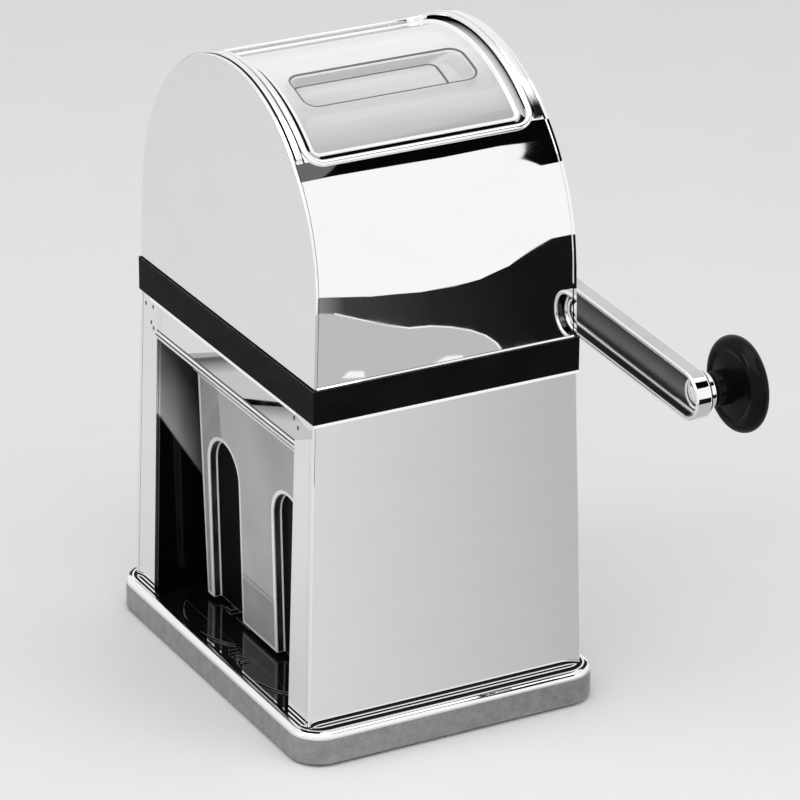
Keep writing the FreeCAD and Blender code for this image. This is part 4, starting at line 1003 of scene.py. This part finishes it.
@dataclass
class Lid(Arch):
    """Clear sliding lid: bent panel, bead and finger recess."""

    half_x: float = 50.02
    end_overlap: float = 2.0
    corner: float = 2.0
    easing: float = 0.3
    top: float = -2.5
    thickness: float = 2.4
    bead_rise: float = 1.2
    bead_inset: float = 1.8
    bead_width: float = 2.0
    recess_angle: float = 71.5
    recess_half: Pair = (37.0, 10.0)
    recess_corner: float = 5.0
    recess_depth: float = 4.4
    recess_slope: float = 9.0

    def build(self) -> None:
        """Build the lid."""
        shape = ring_shell(self.rings(), 8, capped=True)
        bmesh.ops.recalc_face_normals(shape, faces=shape.faces)
        for face in shape.faces:
            face.material_index = self.zone(face)
        self.bend(shape)
        finishes = (self.looks.clear, self.looks.clear_highlight, self.looks.clear_shade, self.looks.black)
        self.finish(shape, "lid_moulding", "lid_panel", finishes, Body.LID, Slot.CLEAR, smooth=50.0)

    def recess(self, grow: float, height: float, shift: float = 0.0) -> Ring:
        """Ring of the finger recess.

        Args:
            grow: Distance outside the recess.
            height: Height of the ring.
            shift: How far the sloping end has come in.

        Returns:
            The ring.
        """
        wide, deep = self.recess_half
        corner = max(self.recess_corner + grow, 1.5)
        return Ring(wide + grow - shift, deep + grow, corner, height, x=-shift, y=self.flat(self.recess_angle))

    def bead(self, inset: float, height: float) -> Ring:
        """Ring of the bead, at a distance inside the opening and a height."""
        (front, rear), corner = self.opening(), max(self.opening_corner - inset, 1.0)
        return Ring(self.opening_half - inset, (rear - front) / 2 - inset, corner, height, y=(rear + front) / 2)

    def edge(self, inset: float, height: float) -> Ring:
        """Ring of the panel, at a distance inside its edge and a height."""
        front, rear = self.opening(self.end_overlap)
        return Ring(self.half_x - inset, (rear - front) / 2 - inset, self.corner, height, y=(front + rear) / 2)

    def rings(self) -> list[Ring]:
        """Rings from the middle of the recess over the edge to the middle of the underside.

        Returns:
            The rings in order.
        """
        top, under, crest = self.top, self.top - self.thickness, self.top + self.bead_rise
        floor, wall, slope = top - self.recess_depth, self.thickness * 0.75, self.recess_slope / 2
        outer, inner = self.bead_inset, self.bead_inset + self.bead_width
        cup = ((-2.3, floor, slope), (-1.3, floor + 0.1, slope), (-0.9, floor + 0.6, slope), (-0.15, top - 1.3),
               (0.0, top - 0.45), (0.2, top - 0.1), (0.9, top))
        bead = ((inner + 0.3, top), (inner, top + 0.25), (inner - 0.4, crest - 0.2), ((inner + outer) / 2, crest),
                (outer + 0.4, crest - 0.2), (outer, top + 0.25), (outer - 0.3, top))
        edge = ((self.easing, top), (0.0, top - self.easing), (0.0, under + self.easing), (self.easing, under))
        belly = ((wall + 0.6, under), (wall, under - 0.6), (wall - 0.2, floor - wall + 0.6, slope * 0.6),
                 (wall - 1.4, floor - wall, slope * 0.8))
        return [make(*row) for make, rows in (
            (self.recess, cup), (self.bead, bead), (self.edge, edge), (self.recess, belly),
        ) for row in rows]

    def zone(self, face: Face) -> int:
        """Finish of a face of the flat lid: 0 panel, 1 painted highlight edge, 2 painted shade edge, 3 painted shadow
        in the gap.

        Args:
            face: The face.

        Returns:
            The number of the finish.
        """
        middle, rises = face.calc_center_median(), face.normal.z
        wide, deep = self.recess_half
        along = middle.y - self.flat(self.recess_angle)
        depth = self.top - middle.z
        if abs(middle.x) < wide + 1.0 and abs(along) < deep + 1.0 and -0.05 < depth < self.recess_depth:
            if depth < 0.02 or depth > self.recess_depth - 0.02:
                return 0
            # painted shade along the recess's top edge and foot, a painted highlight ring just below its top edge
            if depth < 0.3 or depth > self.recess_depth - 0.12:
                return 2
            return int(depth < 0.95)
        reach = self.bead_inset + 0.3
        # painted shadow: the flange beyond the bead at the front and left edges is black
        if rises > 0.1 and (middle.x < reach - self.opening_half or middle.y < self.opening()[0] + reach):
            return 3
        # painted highlight: the right flange and the bead's crest take the bright finish
        right = middle.x > self.opening_half - self.bead_inset + 0.1 and rises > 0.5
        return int(right or middle.z > self.top + 0.05)


@dataclass
class Crank(Assembly):
    """Crank arm, its hub, screw, pin and ferrule, and the knob."""

    reach: float = 120.0
    droop: float = 2.5
    axis: Colour = (0.0, 0.0, 149.0)
    arm_start: float = 79.0
    arm_width: float = 20.0
    arm_thickness: float = 8.0
    arm_web: float = 3.0
    arm_wall: float = 1.8
    arm_fillet: float = 1.1
    knob_start: float = 90.9
    knob_axis: Colour = (0.0, -119.886, 143.766)
    stem: float = 8.0
    stem_radius: float = 7.0
    head: float = 13.0
    radius: float = 19.3
    rim: float = 4.0
    bore: float = 3.55

    def build(self) -> None:
        """Build the crank's pieces."""
        self.build_arm()
        self.build_turned()
        self.build_knob()

    def build_arm(self) -> None:
        """Build the round-ended arm with its channel."""
        wall, thick, half = self.arm_wall, self.arm_thickness, self.arm_width / 2
        web = thick - self.arm_web
        rows = arc((wall, thick - wall), wall, 90.0, 180.0, 6) + arc((wall / 2, wall / 2), wall / 2, 180.0, 360.0, 8)
        rows += arc((wall + self.arm_fillet, web - self.arm_fillet), self.arm_fillet, 180.0, 90.0, 5)
        middle = self.reach / 2
        shape = ring_shell([
            Ring(middle + half - inset, half - inset, half - inset, out, x=-middle) for inset, out in rows
        ], 16, capped=True)
        bmesh.ops.recalc_face_normals(shape, faces=shape.faces)
        for face in shape.faces:
            middle = face.calc_center_median()
            beyond = max(middle.x, -self.reach - middle.x, 0.0)
            inside = math.hypot(beyond, middle.y) < half - wall + 0.05
            # in the channel the web takes the painted lit band and the walls the dark groove steel as painted shade
            if inside and wall / 2 - 0.01 < middle.z < web + 0.05:
                face.material_index = 1 if middle.z > web - 0.02 else 2 * int(middle.z < web - 1.0)
            # painted shade: the arm's upward-facing side takes a darker copy of the polished steel
            elif face.normal.y > 0.9 and wall < middle.z < thick - wall:
                face.material_index = 3
        droop = math.radians(self.droop)
        for vert in shape.verts:
            along, across, out = vert.co
            vert.co.x = self.arm_start + out
            vert.co.y = along * math.cos(droop) - across * math.sin(droop)
            vert.co.z = self.axis[2] + along * math.sin(droop) + across * math.cos(droop)
        finishes = (self.looks.polished, self.looks.channel, self.looks.groove, self.looks.satin)
        self.finish(shape, "crank_arm_pressing", "crank_arm", finishes, Body.CRANK)

    def build_turned(self) -> None:
        """Build the collar, the hub, the cap screw, the pin and the ferrule."""
        face = self.arm_start + self.arm_thickness
        web = face - self.arm_web
        collar = [(58.06, 5.5), (58.06, 11.0)] + arc((61.46, 10.4), 0.6, 90.0, 0.0, 4) + [(62.06, 5.5), (58.06, 5.5)]
        hub = [(62.36, 0.0), (62.36, 7.3), (62.6, 7.7), (63.0, 7.9), (web, 7.9), (web, 0.0)]
        cap = [(face, 0.0), (face, 7.0), (face + 0.9, 7.0)] + arc((face - 4.45, 0.0), 8.15, 57.0, 0.0, 10)[1:]
        head = [(web, 0.0), (web, 6.0), (web - 0.7, 6.0)] + arc((web + 9.2, 0.0), 11.0, 147.5, 180.0, 8)[1:]
        pin = [(web, 0.0), (web, 3.5), (face + 16.0, 3.5), (face + 16.0, 0.0)]
        ferrule = [(face, 3.6), (face, 7.6)] + arc((face + 2.0, 6.0), 1.6, 90.0, 0.0, 6)
        ferrule += [(face + 3.6, 3.6), (face, 3.6)]
        ferrule[2] = (face + 2.0, 7.6)
        for name, node, outlines, axis, body in (
            ("axle_collar_ring", "axle_collar", (collar,), self.axis, Body.CABINET),
            ("crank_hub_sleeve", "crank_hub", (hub,), self.axis, Body.CRANK),
            ("crank_cap_screw", "crank_screw", (cap,), self.axis, Body.CRANK),
            ("knob_pin_turning", "knob_pin", (head, pin), self.knob_axis, Body.CRANK),
            ("knob_ferrule_ring", "knob_ferrule", (ferrule,), self.knob_axis, Body.CRANK),
        ):
            self.finish(lathe(*outlines, place=axis), name, node, body=body)

    def build_knob(self) -> None:
        """Build the turned knob."""
        rim = arc((self.stem + self.rim * 1.15, self.radius - self.rim), self.rim, 210.0, 42.0, 20)
        front_x, front_r = rim[-1]
        crown = self.stem + self.head
        rise = crown - front_x
        dome = (front_r ** 2 + rise ** 2) / (2 * rise)
        face = arc((crown - dome, 0.0), dome, math.degrees(math.asin(front_r / dome)), 0.0, 16)
        depth = self.stem + self.head * 0.55 + 0.6
        outline = [(depth, 0.0), (depth, self.bore), (0.0, self.bore), (0.0, self.stem_radius - 0.8)]
        outline += arc((0.8, self.stem_radius - 0.8), 0.8, 180.0, 90.0, 5)[1:]
        outline += [(self.stem, self.stem_radius), (self.stem + 0.35, self.stem_radius + 0.9)] + rim + face[1:]
        place = (self.knob_start, *self.knob_axis[1:])
        self.finish(lathe(outline, steps=128, place=place), "knob_turning", "knob", body=Body.KNOB, slot=Slot.KNOB)


@dataclass
class Drawer(Assembly):
    """Smoky container with two arched finger flutes."""

    floor: float = 14.8
    face: float = -42.99
    lean: float = 0.023566
    flute_middle: float = 28.5
    flute_half: float = 13.0
    flute_top: float = 89.8
    flute_depth: float = 3.5
    edge: float = 0.55
    strip: float = 1.2

    def build(self) -> None:
        """Build the container."""
        shape = self.copy("container")
        sharp = [edge for edge in crease_edges(shape, 40.0)
                 if all(self.depth(vert.co) < self.flute_depth + 0.5 for vert in edge.verts)]
        eased = soften(shape, self.edge * MM, 2, sharp)
        # painted highlights: the eased edges and a strip inset round the end face take the bright smoky finish
        ends = [face for face in shape.faces if face.normal.x < -0.99 and face not in eased
                and abs(self.depth(face.calc_center_median())) < 0.3]
        made = bmesh.ops.inset_region(shape, faces=ends, thickness=self.strip * MM, use_even_offset=True,
                                      use_boundary=True)
        bright = eased | set(made["faces"])
        for face in shape.faces:
            face.material_index = 1 if face in bright else self.zone(face)
        finishes = (self.looks.smoky, self.looks.smoky_highlight, self.looks.smoky_shade, self.looks.smoky_side_shade)
        self.finish(shape, "container_moulding", "container", finishes, Body.DRAWER, Slot.SMOKY, copied=True)

    def depth(self, place: Vector) -> float:
        """Depth in millimetres of a point in metres behind the container's end face."""
        return place.x / MM - self.face + self.lean * (place.z / MM - self.floor)

    def zone(self, face: Face) -> int:
        """Finish of a face: 0 wall, 2 back of a flute in painted shade, 3 side of a flute in painted shade.

        Args:
            face: The face.

        Returns:
            The number of the finish.
        """
        middle = face.calc_center_median()
        depth = self.depth(middle)
        across = abs(abs(middle.y / MM) - self.flute_middle)
        if across > self.flute_half + 0.1 or middle.z / MM > self.flute_top + 0.1:
            return 0
        if abs(depth - self.flute_depth) < 0.4 and face.normal.x < -0.8:
            return 2
        return 3 if 0.1 < depth < self.flute_depth and abs(face.normal.x) < 0.3 else 0


@dataclass
class Remaining(Assembly):
    """Nodes whose own shape shows, dressed in their slots' finishes."""

    def build(self) -> None:
        """Dress every node that no piece stands for."""
        slots = {entry["node"]: Slot(entry["material_slot"]) for entry in frame["record"]["subparts"]}
        for name, node in frame["nodes"].items():
            if node.hide_render:
                continue
            # the bay liner takes the black wall finish with its painted reflection
            finish = self.looks.liner if name == "bay_liner" else self.looks.by_slot[slots[name]]
            for material_slot in node.material_slots:
                material_slot.material = finish
            LOG.info("%s: dressed as %s", name, slots[name].value)


# ---------------------------------------------------------------- studio


@dataclass
class Studio:
    """Pale floor, soft lamps, glossy-only cards and the camera."""

    camera_place: Colour = (-816.8, -1545.4, 886.0)
    yaw: float = 28.45
    pitch: float = 23.91
    roll: float = 0.40
    lens: float = 215.9
    sensor: float = 36.0
    floor_colour: Colour = (0.74, 0.74, 0.74)
    floor_radius: float = 6.0
    world_lit: float = 0.55
    world_shown: float = 1.0

    def build(self) -> None:
        """Build the studio."""
        self.build_camera()
        self.build_floor()
        self.build_world()
        for name, place, aim, size, power in (
            ("top softbox", (-0.3, -0.5, 1.9), (0.0, 0.0, 0.1), 2.6, 26.0),
            ("side strip", (-1.9, 0.3, 1.1), (0.0, 0.0, 0.12), 0.9, 8.0),
            ("front softbox", (0.80, -1.22, 0.66), (0.0, -0.07, 0.25), 1.25, 5.3),
        ):
            data = bpy.data.lights.new(name, "AREA")
            data.size, data.energy = size, power
            lamp = add_object(name, data)
            lamp.location = place
            lamp.rotation_euler = (Vector(aim) - Vector(place)).to_track_quat("-Z", "Y").to_euler()
        self.build_cards()

    def build_camera(self) -> None:
        """Place the camera."""
        yaw, pitch, roll = (math.radians(angle) for angle in (self.yaw, self.pitch, self.roll))
        ahead = Vector((math.sin(yaw) * math.cos(pitch), math.cos(yaw) * math.cos(pitch), -math.sin(pitch)))
        level = Vector((math.cos(yaw), -math.sin(yaw), 0.0))
        upward = level.cross(ahead)
        right = level * math.cos(roll) + upward * math.sin(roll)
        up = upward * math.cos(roll) - level * math.sin(roll)
        data = bpy.data.cameras.new("camera")
        data.lens, data.sensor_width, data.clip_end = self.lens, self.sensor, 50.0
        camera = add_object("camera", data)
        turn = Matrix((right, up, -ahead)).transposed().to_4x4()
        camera.matrix_world = Matrix.Translation(Vector(self.camera_place) * MM) @ turn
        bpy.context.scene.camera = camera

    def build_floor(self) -> None:
        """Lay the floor."""
        shape = bmesh.new()
        bmesh.ops.create_circle(shape, cap_ends=True, segments=96, radius=self.floor_radius)
        graph = Graph("floor paper")
        grain = graph.spread(graph.noise(25.0, 4.0), 0.0, 1.0)
        colour = graph.blend(grain, self.floor_colour, tuple(part * 0.985 for part in self.floor_colour))
        self.add_stage(shape, "floor", graph.close(Base_Color=colour, Roughness=0.9))

    @staticmethod
    def add_stage(shape: Mesh, name: str, material: Material) -> bpy.types.Object:
        """Add a piece of the studio.

        Args:
            shape: Its mesh, in metres; it is freed.
            name: Its name.
            material: Its finish.

        Returns:
            The object.
        """
        thing = add_mesh(shape, name, (material,))
        return thing

    def build_world(self) -> None:
        """Light the surroundings, pale to the camera and in reflections."""
        world = bpy.data.worlds.new("studio")
        bpy.context.scene.world = world
        graph = Graph("studio", world)
        seen, *others = (
            graph.node("ShaderNodeLightPath", output=f"Is {ray} Ray") for ray in ("Camera", "Glossy", "Transmission")
        )
        for ray in others:
            seen = graph.node("ShaderNodeMath", {"operation": "MAXIMUM"}, {0: seen, 1: ray})
        lit, shown = (
            graph.node("ShaderNodeBackground", {}, {"Color": (1.0, 1.0, 1.0, 1.0), "Strength": strength})
            for strength in (self.world_lit, self.world_shown)
        )
        graph.end("ShaderNodeOutputWorld", graph.node("ShaderNodeMixShader", {}, {0: seen, 1: lit, 2: shown}))

    def build_cards(self) -> None:
        """Stand the cards that only show in reflections."""
        black, grey, dull, dim, low, white = (self.card_finish(word, ((0.0, tone),)) for word, tone in (
            ("black", 0.002), ("grey", 0.16), ("dull", 0.44), ("dim", 0.57), ("low", 0.62), ("white", 1.07),
        ))
        pale = self.card_finish("pale", ((-0.102, 0.755), (0.018, 0.55)), (1.0, 0.539))
        dusk = self.card_finish("dusk", ((-0.054, 0.26), (-0.042, 0.055), (0.0, 0.021), (0.045, 0.008)), (0.914, 0.406))
        shade = self.card_finish("shade", ((0.316, 0.62), (0.337, 0.05)), (-0.154, 1.0))
        haze = self.card_finish("haze", ((0.362, 0.62), (0.384, 0.22)), (-0.68, 1.0))
        curve = ((154, -462), (161, -450), (169, -437), (176, -429), (186, -426), (194, -420), (200, -412),
                 (203, -403), (203, -392), (201, -384))
        edge = ((-1.0, 1.2), (-1.0, 1.2), (-0.9, 1.6), (-0.5, 2.0), (-0.3, 2.0), (-0.8, 1.8), (-1.0, 1.4),
                (-1.2, 0.4), (-1.2, 0.0), (-1.2, 0.0))
        inner = [(x + dx, y + dy) for (x, y), (dx, dy) in zip(curve, edge)]
        for name, finish, height, corners in (
            ("far floor card", white, 2, (
                (-40, -480), (520, -480), (9000, -2500), (9000, -7000), (-4000, -7000), (-4000, -3000))),
            ("front white card", white, 0, (
                (1054, -426, 2284), (1432, -971, 18), (348, -1725, 18), (-30, -1180, 2284))),
            ("near floor card", pale, 2, ((-90, -70), (260, -70), (260, -480), (-90, -480))),
            ("dim floor card", dim, 2.5, ((60, -383), (300, -383), (300, -480), (60, -480))),
            ("front card", dusk, 3, (
                (120, -486), *curve, (330, -384), (1100, -1100), (843, -1560), (492, -921), (320, -608), (246, -490),
                (221, -466), (208, -478), (216, -557), (240, -640), (276, -752), (246, -770))),
            ("bright edge", white, 3.5, (*curve, *reversed(inner))),
            ("left white spot", white, 4, ((119, -388), (126, -394), (132, -391), (129, -384))),
            ("right white spot", white, 4, ((164, -383), (174, -388), (181, -386), (180, -380))),
            ("overhead card", black, 900, (
                (322, -385), (440, -372), (640, -372), (720, -940), (646, -968), (556, -778), (489, -579),
                (467, -559), (430, -567), (386, -553), (346, -543))),
            ("overhead grey card", grey, 901, ((262, -365), (340, -385), (346, -442), (360, -545), (300, -560))),
            ("arm end card", black, 3, ((-140, -460), (-20, -460), (-20, -350), (-140, -350))),
            ("header card", low, 3, ((-212, 200), (-186, 206), (-186, 316), (-212, 310))),
            ("header patch", dull, 3.3, ((-212, 303), (-186, 307), (-186, 316), (-212, 310))),
            ("header dark", shade, 3.3, ((-212, 284), (-186, 288), (-186, 309), (-212, 305))),
            ("header strip", black, 3.6, ((-212, 238), (-190, 250), (-190, 260), (-212, 244))),
            ("header shade", haze, 3.3, ((-212, 218), (-190, 230), (-190, 256), (-212, 241))),
        ):
            shape = bmesh.new()
            shape.faces.new([shape.verts.new(Vector((*corner, height)[:3]) * MM) for corner in corners])
            card = self.add_stage(shape, name, finish)
            card.visible_camera = card.visible_diffuse = card.visible_shadow = card.visible_transmission = False

    @staticmethod
    def card_finish(word: str, stops: Points, slope: Pair | None = None) -> Material:
        """Make a card's finish, which keeps its tones in any light.

        Args:
            word: First word of its name.
            stops: Places along the slope, in metres, with the tone at each.
            slope: Direction along X and Y in which it fades, if it does.

        Returns:
            The material.
        """
        graph = Graph(word + " card")
        place = graph.along(0) * slope[0] + graph.along(1) * slope[1] if slope else None
        tone = stops[0][1]
        for (start, first), (end, second) in zip(stops, stops[1:]):
            tone = graph.spread(place, 0.0, second - first, start, end) + tone
        glow = tone if isinstance(tone, Wire) else (tone, tone, tone, 1.0)
        return graph.close(Base_Color=BLACK, Emission_Color=glow, Emission_Strength=1.0, Specular_IOR_Level=0.0)


# ---------------------------------------------------------------- main


def main() -> None:
    """Build the looks, the studio and the pieces."""
    logging.basicConfig(level=logging.INFO, format="%(message)s")
    bpy.context.scene.view_settings.view_transform = "Standard"
    looks = Palette()
    Studio().build()
    for assembly in (Tray, Cabinet, Housing, Lid, Crank, Drawer, Remaining):
        assembly(looks).build()


if __name__ == "__main__":
    main()
